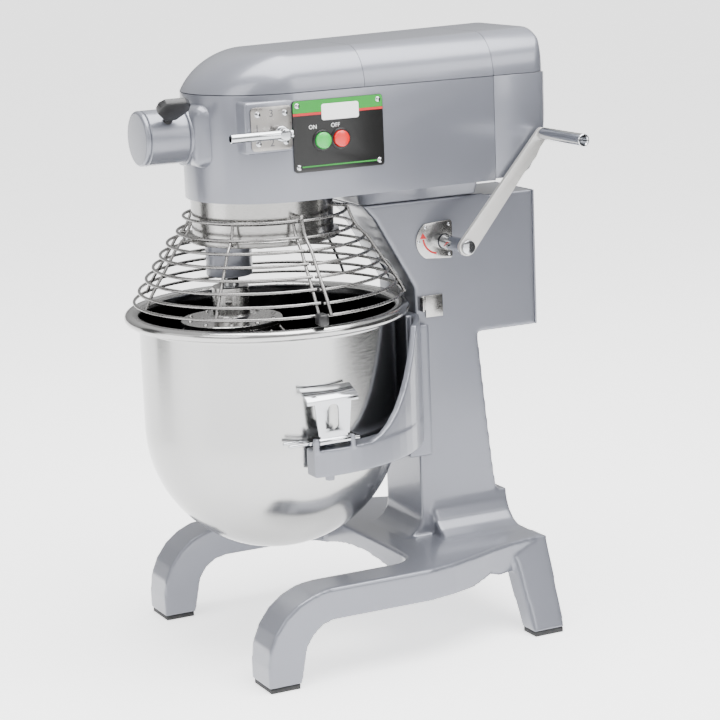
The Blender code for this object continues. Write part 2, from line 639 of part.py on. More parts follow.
def whip_wire(angle, bottom):
    """One wire of the whip: down one side of the pear shape and up the other."""
    widest, belly, top = 0.105, 0.300, 0.4145
    half = []
    for index in range(4):
        share = 1 - index / 3
        half.append((widest - 0.050 * share ** 2, belly + (top - belly) * share))
    for index in range(1, 6):
        turn = math.radians(18 * index)
        half.append((widest * max(math.cos(turn), 0) ** 0.85, belly - (belly - bottom) * math.sin(turn)))
    path = half + [(-r, z) for r, z in reversed(half[:-1])]
    x, y = SPINDLE
    return wire([(x + r * math.cos(angle), y + r * math.sin(angle), z) for r, z in path])


def make_whip():
    x, y = SPINDLE
    hub = turned([(0.0113, 0.4636), (0.0220, 0.4636), (0.0230, 0.4620), (0.0230, 0.4260), (0.0635, 0.4220),
                  (0.0635, 0.4165), (0.0113, 0.4165)], (x, y, 0), steps=28, closed=True)
    node("whip_hub", hub, "stainless", "spindle")
    cross = ring(0.0500, 0.0600, 0.4100, 0.4162, (x, y, 0), steps=24)
    wires = [whip_wire(math.radians(30 * index), 0.160 + 0.0048 * index) for index in range(6)]
    node("whip_wires", join(cross, *wires), "stainless", "spindle")


# ---- guard ----
def guard_arc(radius, height, start, end, steps):
    return [(x, y, height) for x, y in arc((0, 0), radius, start, end, steps)]


def guard_half(start, end, posts, widen, post_side, band):
    """Half rings tied by bent posts and short spokes; band is the radius of the collar that holds them."""
    wires = [wire(guard_arc(radius + widen, height, start, end, 11)) for radius, height in GUARD_RINGS]
    for angle in posts:
        c, s = math.cos(math.radians(angle)), math.sin(math.radians(angle))
        lean = widen + post_side * 0.0026
        rail = [((radius + lean) * c, (radius + lean) * s, height) for radius, height in GUARD_RINGS]
        if post_side > 0:
            rail.insert(0, ((GUARD_RINGS[0][0] + lean) * c, (GUARD_RINGS[0][0] + lean) * s, SPOKE_Z + 0.0010))
        wires.append(wire(rail))
        height, reach = GUARD_RINGS[1][1] - 0.0065, GUARD_RINGS[1][0] + 0.0042
        if post_side > 0:
            height, reach = SPOKE_Z, GUARD_RINGS[0][0] + lean + 0.0010
        wires.append(wire([((band + GAP) * c, (band + GAP) * s, height), (reach * c, reach * s, height)], 0.0017, 6))
    return join(wires[0], *wires[1:])


def make_guard():
    collar = turned([(0.0840, 0.5206), (0.0840, 0.5472), (DRUM_R, 0.5472), (DRUM_R, 0.5290), (0.0945, 0.5290),
                     (0.0945, 0.5206)], steps=28, closed=True)
    node("guard_collar", collar, "stainless", "guard")
    front = guard_half(-180, 0, (-178.6, -134, -90, -46, -1.4), 0, -1, 0.0945)
    node("front_guard", front, "stainless", "guard")
    rear = guard_half(0.6, 179.4, (2.2, 60, 120, 177.8), REAR_GUARD_STEP, 1, DRUM_R)
    node("rear_guard", rear, "stainless")
    knob = soften(box((0.1680, -0.0140, 0.4370), (0.1850, -0.0010, 0.4510)), 0.003, 2)
    node("guard_knob", knob, "black_plastic", "guard")


# ---- bowl and its lift ----
def bowl_profile(inner, sphere, rim):
    """Points from the bottom up the wall, at one radius."""
    points = [(sphere * math.sin(math.radians(a)), BOWL_MID_Z - sphere * math.cos(math.radians(a)))
              for a in range(0, 90, 15)]
    points[0] = (0, points[0][1])
    return points + [(inner, BOWL_MID_Z + 0.003)] + rim


def make_bowl():
    inside = bowl_profile(BOWL_R - BOWL_T, BOWL_SPHERE - BOWL_T,
                          [(BOWL_R - BOWL_T, 0.420), (0.1615, 0.4312), (0.1680, RIM_Z)])
    outside = bowl_profile(BOWL_R, BOWL_SPHERE, [(BOWL_R, 0.416), (0.1620, 0.4225), (0.1745, 0.4195)])
    bead = [(0.1765, 0.4325), (RIM_R, 0.4260), (0.1765, 0.4205)]
    bowl = turned(inside + bead + outside[::-1], steps=32)
    keep = rod((0, 0, 0.20), (0, 0, 0.35), BOWL_R - 0.0006, steps=40)
    for side in (1, -1):
        edge = sorted((side * 0.140, side * 0.1805))
        ear = box((edge[0], -0.032, 0.2935), (edge[1], 0.035, 0.2982))
        for x in (0.1600, 0.1765):
            edge = sorted((side * (x - 0.002), side * (x + 0.002)))
            join(ear, box((edge[0], -0.058, 0.2940), (edge[1], -0.030, 0.2977)))
        cut(ear, keep, rod((side * 0.1705, -0.002, 0.28), (side * 0.1705, -0.002, 0.31), 0.0056, steps=14))
        join(bowl, ear)
    node("bowl", bowl, "stainless", "lift")


def saddle():
    """The wall that rises from the yoke's ring to the slide."""
    bm = bmesh.new()
    rows = []
    for index in range(31):
        degrees = 15 + 5 * index
        rise = min(max((min(degrees, 180 - degrees) - 12) / 38, 0), 1)
        top = YOKE_TOP - 0.001 + (SADDLE_TOP - YOKE_TOP) * rise ** 1.85
        angle = math.radians(degrees)
        radius = YOKE_OUT - 0.0005
        rows.append([bm.verts.new((radius * math.cos(angle), radius * math.sin(angle), z))
                     for z in (YOKE_LOW + 0.006, top)])
    for (low, high), (low_next, high_next) in zip(rows, rows[1:]):
        bm.faces.new((low, low_next, high_next, high))
    wall = from_bmesh(bm)
    thick = wall.modifiers.new("wall", "SOLIDIFY")
    thick.thickness = 0.008
    thick.offset = -1
    return wall


def make_yoke():
    outline = arc((0, 0), YOKE_OUT, -15, 195, 42) + arc((0, 0), YOKE_IN, 195, -15, 42)
    yoke = slab(outline, "XY", YOKE_LOW, YOKE_TOP)
    common(yoke, box((-0.25, YOKE_FRONT, 0.2), (0.25, 0.25, 0.35)))
    join(yoke, saddle(), box((-0.062, 0.1625, 0.225), (0.062, COLUMN_FRONT - 2 * GAP, SADDLE_TOP)))
    for side in (1, -1):
        edge = sorted((side * (COLUMN_HALF + 0.001), side * 0.062))
        join(yoke, box((edge[0], 0.175, 0.225), (edge[1], 0.195, 0.395)))
    cut(yoke, box((-COLUMN_HALF - 0.001, COLUMN_FRONT - 2 * GAP, 0.2), (COLUMN_HALF + 0.001, 0.25, 0.45)))
    for side in (1, -1):
        pin_x, pin_z = side * CLAMP_PIN[0], CLAMP_PIN[1]
        for y in (-0.0270, 0.0210):
            join(yoke, box((pin_x - 0.004, y - 0.003, YOKE_TOP - 0.002), (pin_x + 0.004, y + 0.003, 0.3030)))
        join(yoke, rod((pin_x, -0.0280, pin_z), (pin_x, 0.0220, pin_z), 0.0022, steps=10),
             rod((side * 0.1705, -0.002, 0.270), (side * 0.1705, -0.002, 0.3065), 0.0050, steps=14),
             rod((side * 0.1745, -0.005, 0.2470), (side * 0.1745, -0.005, 0.2600), 0.0065, steps=6))
    node("bowl_yoke", yoke, "silver_paint", "lift")

    pitch = math.pi * LIFT_MODULE
    line = LEVER_Y - LIFT_R
    root, tip = line - 0.95 * LIFT_MODULE, line + 0.7 * LIFT_MODULE
    slope = math.tan(math.radians(20))
    thick = 0.42 * pitch / 2
    outline = [(root - 0.0035, 0.4107), (root, 0.4107)]
    for index in range(-2, 6):
        middle = LEVER_Z + (index + 0.5) * pitch
        wide, thin = thick + slope * (line - root), thick - slope * (tip - line)
        outline += [(root, middle - wide), (tip, middle - thin), (tip, middle + thin), (root, middle + wide)]
    outline += [(root, 0.6000), (root - 0.0035, 0.6000)]
    node("lift_rack", slab(outline, "YZ", -0.012, 0.012), "steel", "lift")


def make_clamps():
    x, z = CLAMP_PIN
    for name, side in (("right", 1), ("left", -1)):
        section = [(x - 0.0015, z + 0.003), (x + 0.0012, z + 0.003), (x + 0.0012, 0.3500), (0.1640, 0.3612),
                   (0.1628, 0.3590), (x - 0.0015, 0.3485)]
        plate = slab([(side * a, b) for a, b in section], "XZ", -0.0210, 0.0150)
        wide = [(x - 0.0015, z + 0.0070)] + section[1:]
        wide[1] = (x + 0.0012, z + 0.0070)
        top = slab([(side * a, b) for a, b in wide], "XZ", -0.0400, 0.0340)
        window = sorted((side * (x - 0.01), side * (x + 0.01)))
        sill = box((window[0], -0.0480, 0.3000), (window[1], -0.0330, 0.3440))
        sill_rear = box((window[0], 0.0230, 0.3000), (window[1], 0.0400, 0.3440))
        join(plate, top, rod((side * x, -0.0235, z), (side * x, 0.0175, z), 0.0044, steps=14))
        toe = sorted((side * 0.1760, side * (x - 0.001)))
        join(plate, box((toe[0], -0.0100, 0.2995), (toe[1], 0.0120, 0.3025)))
        cut(plate, sill, sill_rear, box((window[0], -0.0170, 0.3130), (window[1], 0.0060, 0.3410)),
            rod((side * x, -0.04, z), (side * x, 0.04, z), 0.0026, steps=10))
        node("bowl_clamp_" + name, plate, "chrome", "clamp_" + name)


def make_lift_lever():
    pinion = spur(LIFT_TEETH, LIFT_MODULE, -0.009, 0.009, at=(0, LEVER_Y, LEVER_Z), plane="YZ", phase=math.pi)
    join(pinion, rod((-0.032, LEVER_Y, LEVER_Z), (LEVER_X + LEVER_T + 0.004, LEVER_Y, LEVER_Z), 0.0090, steps=16))
    node("lift_shaft", pinion, "steel", "lift_lever")
    direction = (math.cos(LEVER_ANGLE), math.sin(LEVER_ANGLE))
    tip = (LEVER_Y + LEVER_LENGTH * direction[0], LEVER_Z + LEVER_LENGTH * direction[1])
    turn = math.degrees(LEVER_ANGLE)
    outline = arc((LEVER_Y, LEVER_Z), 0.0150, turn + 90, turn + 270, 8) + arc(tip, 0.0095, turn - 90, turn + 90, 6)
    arm = slab(outline, "YZ", LEVER_X, LEVER_X + LEVER_T)
    cut(arm, rod((0.09, LEVER_Y, LEVER_Z), (0.13, LEVER_Y, LEVER_Z), 0.0093, steps=16))
    node("lift_arm", arm, "chrome", "lift_lever")
    grip = soften(rod((LEVER_X + LEVER_T + GAP, *tip), (GRIP_END, *tip), 0.0080, steps=18), 0.0012, 1)
    node("lift_grip", grip, "chrome", "lift_grip")


# ---- the whole mixer ----
def make_joints():
    joint("root", (0, 0, 0))
    joint("planetary", (0, 0, 0.534), "root")
    joint("spindle", (*SPINDLE, 0.500), "planetary")
    joint("countershaft", (0, 0.100, SHAFT_Z), "root")
    joint("motor_rotor", (MOTOR_X, 0.190, MOTOR_Z), "root")
    joint("hub_drive", (0, -0.080, SHAFT_Z), "root")
    joint("hub_screw", (0.030 * math.cos(SCREW_ANGLE), SCREW_Y,
                        SHAFT_Z + 0.030 * math.sin(SCREW_ANGLE)), "root")
    joint("guard", (0, 0, 0.530), "root")
    joint("gear_lever", (0.110, *GEAR_LEVER), "root")
    for name, (y, z) in BUTTONS.items():
        joint(name + "_button", (0.105, y, z), "root")
    joint("lift", (0, COLUMN_FRONT, 0.320), "root")
    joint("clamp_right", (CLAMP_PIN[0], 0, CLAMP_PIN[1]), "lift")
    joint("clamp_left", (-CLAMP_PIN[0], 0, CLAMP_PIN[1]), "lift")
    joint("lift_lever", (LEVER_X, LEVER_Y, LEVER_Z), "root")
    joint("lift_grip", (0.160, LEVER_Y + LEVER_LENGTH * math.cos(LEVER_ANGLE),
                        LEVER_Z + LEVER_LENGTH * math.sin(LEVER_ANGLE)), "lift_lever")


make_joints()
make_frame()
make_head()
make_hub()
make_controls()
make_drive()
make_planetary()
make_whip()
make_guard()
make_bowl()
make_yoke()
make_clamps()
make_lift_lever()
bpy.context.view_layer.update()
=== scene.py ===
"""Looks of the stand mixer: fine shells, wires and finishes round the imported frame, in a pale studio."""
import json
import math

import bmesh
import bpy
from mathutils import Matrix, Vector


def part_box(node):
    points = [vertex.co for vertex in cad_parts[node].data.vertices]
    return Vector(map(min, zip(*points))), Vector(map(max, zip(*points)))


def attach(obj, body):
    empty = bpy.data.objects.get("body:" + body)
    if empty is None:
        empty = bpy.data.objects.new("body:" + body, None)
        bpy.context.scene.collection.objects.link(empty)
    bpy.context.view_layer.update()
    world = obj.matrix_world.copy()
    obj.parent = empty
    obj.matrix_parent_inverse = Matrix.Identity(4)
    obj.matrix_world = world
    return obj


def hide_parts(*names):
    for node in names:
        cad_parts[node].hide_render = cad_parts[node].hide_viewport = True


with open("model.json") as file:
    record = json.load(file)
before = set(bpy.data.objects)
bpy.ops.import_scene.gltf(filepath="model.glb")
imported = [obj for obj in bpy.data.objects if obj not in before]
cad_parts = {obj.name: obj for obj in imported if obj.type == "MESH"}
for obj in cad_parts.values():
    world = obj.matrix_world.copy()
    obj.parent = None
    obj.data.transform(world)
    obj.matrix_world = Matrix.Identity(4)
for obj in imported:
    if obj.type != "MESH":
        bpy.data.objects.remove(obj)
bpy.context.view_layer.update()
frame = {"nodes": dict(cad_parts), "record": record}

# ---- places, in metres, measured from the bowl's axis (x, y) and the bench (z) ----
COLLAR_LOW, COLLAR_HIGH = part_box("collar_band")
ORIGIN = Vector(((COLLAR_LOW.x + COLLAR_HIGH.x) / 2, (COLLAR_LOW.y + COLLAR_HIGH.y) / 2, 0))


def extent(node):
    low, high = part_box(node)
    return low - ORIGIN, high - ORIGIN


GAP = 0.0003
HEAD_HALF = 0.1015
NOSE_Y = 0.008
HEAD_LOW, SEAM_Z = 0.575, 0.705
HEAD_TOP = 0.7549
TOP_TILT, TILT_MIDDLE = 0.022, 0.14
NOSE_SLOPE = math.radians(62)
TAIL_LEAN = 0.0080
COVER_FLAT = 0.0571
COVER_CUTS = (0.0981, 0.2762)
HEAD_REAR = 0.354
NECK_TOP = extent("head_housing")[0].z - GAP
COLUMN_HALF = extent("rear_box_cover")[1].x
HUB_Z = (extent("attachment_hub")[0].z + extent("attachment_hub")[1].z) / 2
HUB_R = extent("attachment_hub")[1].x
HUB_Y, HUB_FRONT = extent("attachment_hub")[1].y, extent("hub_cap")[0].y
HUB_CAP_Y = extent("hub_cap")[1].y
SCREW_Y, SCREW_ANGLE = -0.1295, math.radians(40)
# half width, reach from the hub's axis and half thickness at each level of the thumb screw's wing
THUMB_WING = ((0.0070, 0.0430, 0.0065), (0.0200, 0.0570, 0.0045), (0.0195, 0.0690, 0.0042),
              (0.0130, 0.0745, 0.0042))
DRUM_R = COLLAR_HIGH.x - ORIGIN.x
BOWL_R, BOWL_T = 0.160, 0.0016
BOWL_MID_Z = 0.287
RIM_R, RIM_Z = extent("bowl")[1].y, extent("bowl")[1].z
PLATE_LOW, PLATE_HIGH = extent("whip_hub")
SPINDLE = ((PLATE_LOW.x + PLATE_HIGH.x) / 2, (PLATE_LOW.y + PLATE_HIGH.y) / 2)
PLUG = (0.058, -0.030)
WIRE_R = 0.002
# radius and height of each ring of the guard, from the collar down
GUARD_RINGS = ((0.098, 0.5515), (0.1065, 0.5323), (0.1196, 0.5182), (0.1291, 0.5035),
               (0.1386, 0.489), (0.1481, 0.475), (0.1576, 0.460), (0.1645, 0.4465))
REAR_GUARD_STEP = 0.0055
SPOKE_Z = 0.5575
PANEL_LOW, PANEL_HIGH = extent("control_panel")
GEAR_LOW, GEAR_HIGH = extent("gear_plate")
GEAR_LEVER = (-0.0195, 0.6596)
GEAR_ROD_X = 0.1205
SHAFT_BORE_R = 0.0066
BUTTON_BORE_R = 0.0106
ARROW_CENTRE = (0.2175, 0.5040)
LEVER_Y, LEVER_Z = 0.2269, 0.4969
LEVER_X, LEVER_T = 0.1062, 0.006
LEVER_LENGTH, LEVER_ANGLE = 0.173, math.radians(49.7)
GRIP_END = extent("lift_grip")[1].x
CLAMP_PIN = (0.1865, 0.2985)
# outer edge, and inner edge at the top and at the foot, of what is cut off each side of a clamp's body
CLAMP_TRIMS = ((-0.0480, -0.0270, -0.0225), (0.0420, 0.0210, 0.0165))

# ---- studio and camera ----
WORLD_STRENGTH = 0.9
FLOOR_HALF, FLOOR_GLOW = 30, 1.6
AIM = (0, 0.1, 0.4)
# name, place, target, size and power in watts
LIGHTS = (("key", (1.2, -2.3, 2.2), AIM, (1.6, 1.6), 30),
          ("top", (0.4, 0.3, 2.6), AIM, (2.2, 2.6), 200),
          ("side", (2.3, 1.5, 1.5), AIM, (1.4, 1.4), 34),
          ("low_front", (-0.15, -1.45, 0.55), (0, 0, 0.35), (0.7, 1.0), 3))
CAMERA_PLACE = (2.65801, -1.17392, 0.97639)
CAMERA_AZIMUTH, CAMERA_ELEVATION, CAMERA_ROLL = 63.929, 12.007, 2.290
CAMERA_LENS, CAMERA_SENSOR = 118.18, 36

SHAPES = []
PLANES = {
    "XY": Matrix.Identity(4),
    "YZ": Matrix(((0, 0, 1, 0), (1, 0, 0, 0), (0, 1, 0, 0), (0, 0, 0, 1))),
    "XZ": Matrix(((1, 0, 0, 0), (0, 0, -1, 0), (0, 1, 0, 0), (0, 0, 0, 1))),
}


# ---- materials ----
def new_material(name):
    made = bpy.data.materials.new(name)
    made.use_nodes = True
    tree = made.node_tree
    return made, tree, tree.nodes["Principled BSDF"]


def noise(tree, scale, detail, stretch=(1, 1, 1)):
    """A noise texture in object space, stretched along the axes."""
    place = tree.nodes.new("ShaderNodeTexCoord")
    mapping = tree.nodes.new("ShaderNodeMapping")
    mapping.inputs["Scale"].default_value = stretch
    texture = tree.nodes.new("ShaderNodeTexNoise")
    texture.inputs["Scale"].default_value = scale
    texture.inputs["Detail"].default_value = detail
    tree.links.new(place.outputs["Object"], mapping.inputs["Vector"])
    tree.links.new(mapping.outputs["Vector"], texture.inputs["Vector"])
    return texture.outputs["Fac"]


def ramp(tree, source, low, high, start=0.35, end=0.65):
    """Maps a texture between two values or two colours."""
    made = tree.nodes.new("ShaderNodeValToRGB")
    made.color_ramp.elements[0].position = start
    made.color_ramp.elements[1].position = end
    for element, value in zip(made.color_ramp.elements, (low, high)):
        element.color = (*value, 1) if isinstance(value, tuple) else (value, value, value, 1)
    tree.links.new(source, made.inputs["Fac"])
    return made.outputs["Color"]


def bump(tree, shader, source, height, distance=0.001):
    made = tree.nodes.new("ShaderNodeBump")
    made.inputs["Strength"].default_value = height
    made.inputs["Distance"].default_value = distance
    tree.links.new(source, made.inputs["Height"])
    tree.links.new(made.outputs["Normal"], shader.inputs["Normal"])


def finish_material(name, colour, spread, metallic, rough, grain, height, coat=0.0, stretch=(1, 1, 1)):
    """A finish whose colour, roughness and surface all vary a little, at the grain's scale."""
    made, tree, shader = new_material(name)
    broad = noise(tree, 9, 3)
    fine = noise(tree, grain, 4, stretch)
    darker = tuple(c * (1 - spread) for c in colour)
    lighter = tuple(min(c * (1 + spread), 1) for c in colour)
    tree.links.new(ramp(tree, broad, darker, lighter), shader.inputs["Base Color"])
    tree.links.new(ramp(tree, fine, rough[0], rough[1]), shader.inputs["Roughness"])
    shader.inputs["Metallic"].default_value = metallic
    shader.inputs["Coat Weight"].default_value = coat
    shader.inputs["Coat Roughness"].default_value = 0.12
    bump(tree, shader, fine, height, 0.0004)
    return made


MATERIALS = {
    "silver_paint": finish_material("silver_paint", (0.172, 0.179, 0.208), 0.02, 0.45, (0.28, 0.34), 900,
                                    0.05, coat=0.5),
    "polished_stainless": finish_material("polished_stainless", (0.44, 0.44, 0.435), 0.02, 1.0,
                                          (0.15, 0.20), 60, 0.03, stretch=(1, 1, 14)),
    "stainless": finish_material("stainless", (0.40, 0.395, 0.385), 0.05, 1.0, (0.16, 0.26), 160, 0.06,
                                 stretch=(1, 1, 6)),
    "dull_steel": finish_material("dull_steel", (0.34, 0.325, 0.31), 0.08, 1.0, (0.26, 0.40), 160, 0.06,
                                  stretch=(1, 1, 6)),
    "wire": finish_material("wire", (0.25, 0.245, 0.24), 0.05, 1.0, (0.22, 0.32), 300, 0.06),
    # near-black copy of the bowl's steel for its inner faces: painted shade in the bowl's hollow, not a
    # different metal
    "bowl_inside_painted_shade": finish_material("bowl_inside_painted_shade", (0.050, 0.050, 0.052), 0.05, 1.0, (0.12, 0.18), 60, 0.03),
    "chrome": finish_material("chrome", (0.50, 0.51, 0.53), 0.02, 1.0, (0.07, 0.12), 200, 0.02),
    "satin_steel": finish_material("satin_steel", (0.62, 0.61, 0.59), 0.04, 0.75, (0.34, 0.44), 220, 0.05,
                                   stretch=(1, 4, 1)),
    "machined_steel": finish_material("machined_steel", (0.42, 0.42, 0.43), 0.06, 1.0, (0.28, 0.42), 220,
                                      0.08),
    "cast_iron": finish_material("cast_iron", (0.10, 0.10, 0.11), 0.2, 0.6, (0.50, 0.65), 300, 0.5),
    "bronze": finish_material("bronze", (0.50, 0.33, 0.13), 0.08, 1.0, (0.25, 0.40), 220, 0.08),
    "rubber": finish_material("rubber", (0.016, 0.016, 0.017), 0.2, 0.0, (0.60, 0.75), 500, 0.3),
    "black_plastic": finish_material("black_plastic", (0.009, 0.009, 0.010), 0.15, 0.0, (0.32, 0.42), 450,
                                     0.12),
    "panel_black": finish_material("panel_black", (0.005, 0.005, 0.005), 0.1, 0.0, (0.28, 0.34), 450, 0.05),
    "panel_green": finish_material("panel_green", (0.008, 0.22, 0.018), 0.04, 0.0, (0.35, 0.42), 450, 0.05),
    "panel_red": finish_material("panel_red", (0.45, 0.010, 0.012), 0.04, 0.0, (0.35, 0.42), 450, 0.05),
    "panel_white": finish_material("panel_white", (0.82, 0.82, 0.82), 0.02, 0.0, (0.35, 0.42), 450, 0.05),
    "green_plastic": finish_material("green_plastic", (0.02, 0.42, 0.06), 0.06, 0.0, (0.18, 0.26), 300, 0.05,
                                     coat=0.4),
    "red_plastic": finish_material("red_plastic", (0.62, 0.010, 0.008), 0.06, 0.0, (0.18, 0.26), 300, 0.05,
                                   coat=0.4),
}


# ---- shapes ----
def shape(mesh, matrix=None):
    obj = bpy.data.objects.new("shape", mesh)
    bpy.context.scene.collection.objects.link(obj)
    obj.matrix_world = Matrix.Translation(ORIGIN) @ (matrix or Matrix.Identity(4))
    SHAPES.append(obj)
    return obj


def from_bmesh(bm, matrix=None):
    mesh = bpy.data.meshes.new("shape")
    bm.to_mesh(mesh)
    bm.free()
    return shape(mesh, matrix)


def box(low, high):
    bm = bmesh.new()
    bmesh.ops.create_cube(bm, size=1)
    low, high = Vector(low), Vector(high)
    place = Matrix.Translation((low + high) / 2) @ Matrix.Diagonal((*(high - low), 1))
    bmesh.ops.transform(bm, matrix=place, verts=bm.verts)
    return from_bmesh(bm)


def rod(start, end, radius, steps=48):
    start, end = Vector(start), Vector(end)
    bm = bmesh.new()
    bmesh.ops.create_cone(bm, cap_ends=True, segments=steps, radius1=radius, radius2=radius,
                          depth=(end - start).length)
    turn = Vector((0, 0, 1)).rotation_difference(end - start).to_matrix().to_4x4()
    bmesh.ops.transform(bm, matrix=Matrix.Translation((start + end) / 2) @ turn, verts=bm.verts)
    return from_bmesh(bm)


def hull(points):
    bm = bmesh.new()
    for point in points:
        bm.verts.new(point)
    bmesh.ops.convex_hull(bm, input=bm.verts)
    bmesh.ops.recalc_face_normals(bm, faces=bm.faces)
    return from_bmesh(bm)


def turned(profile, at=(0, 0, 0), plane="XY", steps=96, closed=False):
    """A turned solid: (radius, height) points that run down the outer side."""
    bm = bmesh.new()
    verts = [bm.verts.new((radius, 0, height)) for radius, height in profile]
    for start, end in zip(verts, verts[1:]):
        bm.edges.new((start, end))
    if closed:
        bm.edges.new((verts[-1], verts[0]))
    obj = from_bmesh(bm, Matrix.Translation(at) @ PLANES[plane])
    screw = obj.modifiers.new("turn", "SCREW")
    screw.steps = screw.render_steps = steps
    screw.use_merge_vertices = True
    screw.merge_threshold = 0.00001
    return obj


def baked(obj):
    """The object's evaluated shape as a plain mesh object with the same place."""
    bpy.context.view_layer.update()
    graph = bpy.context.evaluated_depsgraph_get()
    mesh = bpy.data.meshes.new_from_object(obj.evaluated_get(graph))
    bm = bmesh.new()
    bm.from_mesh(mesh)
    bmesh.ops.remove_doubles(bm, verts=bm.verts, dist=0.000002)
    bmesh.ops.recalc_face_normals(bm, faces=bm.faces)
    bm.to_mesh(mesh)
    bm.free()
    made = bpy.data.objects.new(obj.name, mesh)
    bpy.context.scene.collection.objects.link(made)
    made.matrix_world = obj.matrix_world.copy()
    SHAPES.append(made)
    return made


def add_spline(curve, points, cyclic):
    spline = curve.splines.new("POLY")
    spline.points.add(len(points) - 1)
    for point, place in zip(spline.points, points):
        point.co = (*place, 1) if len(place) == 3 else (*place, 0, 1)
    spline.use_cyclic_u = cyclic


def slab(outline, plane, low, high):
    """A flat outline in one plane, as thick as from low to high across it."""
    curve = bpy.data.curves.new("outline", "CURVE")
    curve.dimensions = "2D"
    curve.fill_mode = "BOTH"
    curve.extrude = (high - low) / 2
    add_spline(curve, outline, True)
    middle = (low + high) / 2 * (-1 if plane == "XZ" else 1)
    return baked(shape(curve, PLANES[plane] @ Matrix.Translation((0, 0, middle))))


def wires(paths, radius=WIRE_R, cyclic=False, sides=12):
    """Round wires along paths, as one mesh."""
    curve = bpy.data.curves.new("wires", "CURVE")
    curve.dimensions = "3D"
    curve.bevel_depth = radius
    curve.bevel_resolution = (sides - 4) // 2
    curve.use_fill_caps = True
    for path in paths:
        add_spline(curve, path, cyclic)
    return baked(shape(curve))


def combine(obj, operation, others):
    for other in others:
        step = obj.modifiers.new(operation.lower(), "BOOLEAN")
        step.operation = operation
        step.solver = "EXACT"
        step.object = other
    return obj


def join(obj, *others):
    return combine(obj, "UNION", others)


def cut(obj, *others):
    return combine(obj, "DIFFERENCE", others)


def soften(obj, width, segments=3, angle=35):
    bevel = obj.modifiers.new("edges", "BEVEL")
    bevel.width = width
    bevel.segments = segments
    bevel.limit_method = "ANGLE"
    bevel.angle_limit = math.radians(angle)
    bevel.harden_normals = False
    return obj


def cast(obj, voxel, rounds):
    """Rounds every edge as a casting's are: a fine remesh and a few rounds of smoothing."""
    remesh = obj.modifiers.new("skin", "REMESH")
    remesh.mode = "VOXEL"
    remesh.voxel_size = voxel
    smooth = obj.modifiers.new("blend", "SMOOTH")
    smooth.factor = 0.5
    smooth.iterations = rounds
    return obj


def arc(centre, radius, start, end, count):
    angles = [math.radians(start + (end - start) * index / count) for index in range(count + 1)]
    return [(centre[0] + radius * math.cos(a), centre[1] + radius * math.sin(a)) for a in angles]


def mirrored(half):
    return half + [(-x, y) for x, y in reversed(half)]


def rounded(low, high, radius, count=6):
    """A rectangle with round corners, as an outline."""
    (x0, y0), (x1, y1) = low, high
    corners = (((x1 - radius, y1 - radius), 0), ((x0 + radius, y1 - radius), 90),
               ((x0 + radius, y0 + radius), 180), ((x1 - radius, y0 + radius), 270))
    return [point for centre, start in corners for point in arc(centre, radius, start, start + 90, count)]


def piece(name, obj, body, finish, slot, *nodes, sharp=40):
    """Names a finished shape, gives it its finish and hangs it on a body in place of CAD nodes."""
    made = baked(obj)
    made.name = name
    made.data.materials.clear()
    made.data.materials.append(MATERIALS[finish])
    made.data.shade_smooth()
    made.data.set_sharp_from_angle(angle=math.radians(sharp))
    SHAPES.remove(made)
    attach(made, body)
    if nodes:
        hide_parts(*nodes)
    return made


def keep(node, finish, width=0.0):
    """A CAD node that stays, with its finish and slightly broken edges."""
    obj = frame["nodes"][node]
    obj.data.materials.clear()
    obj.data.materials.append(MATERIALS[finish])
    obj.data.shade_smooth()
    obj.data.set_sharp_from_angle(angle=math.radians(35))
    if width:
        weld = obj.modifiers.new("weld", "WELD")
        weld.merge_threshold = 0.00001
        soften(obj, width, 3)


def screws(centres, plane_x, radius=0.0035, height=0.0012):
    """Low domed screw heads on a face that looks along +X."""
    heads = []
    for y, z in centres:
        profile = [(0, height), (radius * 0.5, height * 0.9), (radius * 0.85, height * 0.55), (radius, 0),
                   (0, 0)]
        head = turned(profile, (plane_x, y, z), "YZ", 24)
        heads.append(cut(head, box((plane_x + height * 0.4, y - radius * 0.2, z - radius * 0.2),
                                   (plane_x + 0.01, y + radius * 0.2, z + radius * 0.2))))
    return join(heads[0], *heads[1:])


# ---- castings ----
def copy_of(node):
    obj = bpy.data.objects.new(node, frame["nodes"][node].data.copy())
    bpy.context.scene.collection.objects.link(obj)
    SHAPES.append(obj)
    weld = obj.modifiers.new("weld", "WELD")
    weld.merge_threshold = 0.00001
    return obj


def make_castings():
    piece("frame_skin", cast(copy_of("frame_casting"), 0.0022, 7), "frame", "silver_paint", "silver_paint",
          "frame_casting", sharp=60)
    piece("yoke_skin", cast(copy_of("bowl_yoke"), 0.0014, 5), "lift", "silver_paint", "silver_paint",
          "bowl_yoke", sharp=60)


def head_outline(inset, rear):
    half = HEAD_HALF - inset
    return mirrored(arc((0, NOSE_Y), half, -90, 0, 36) + [(half, rear)])


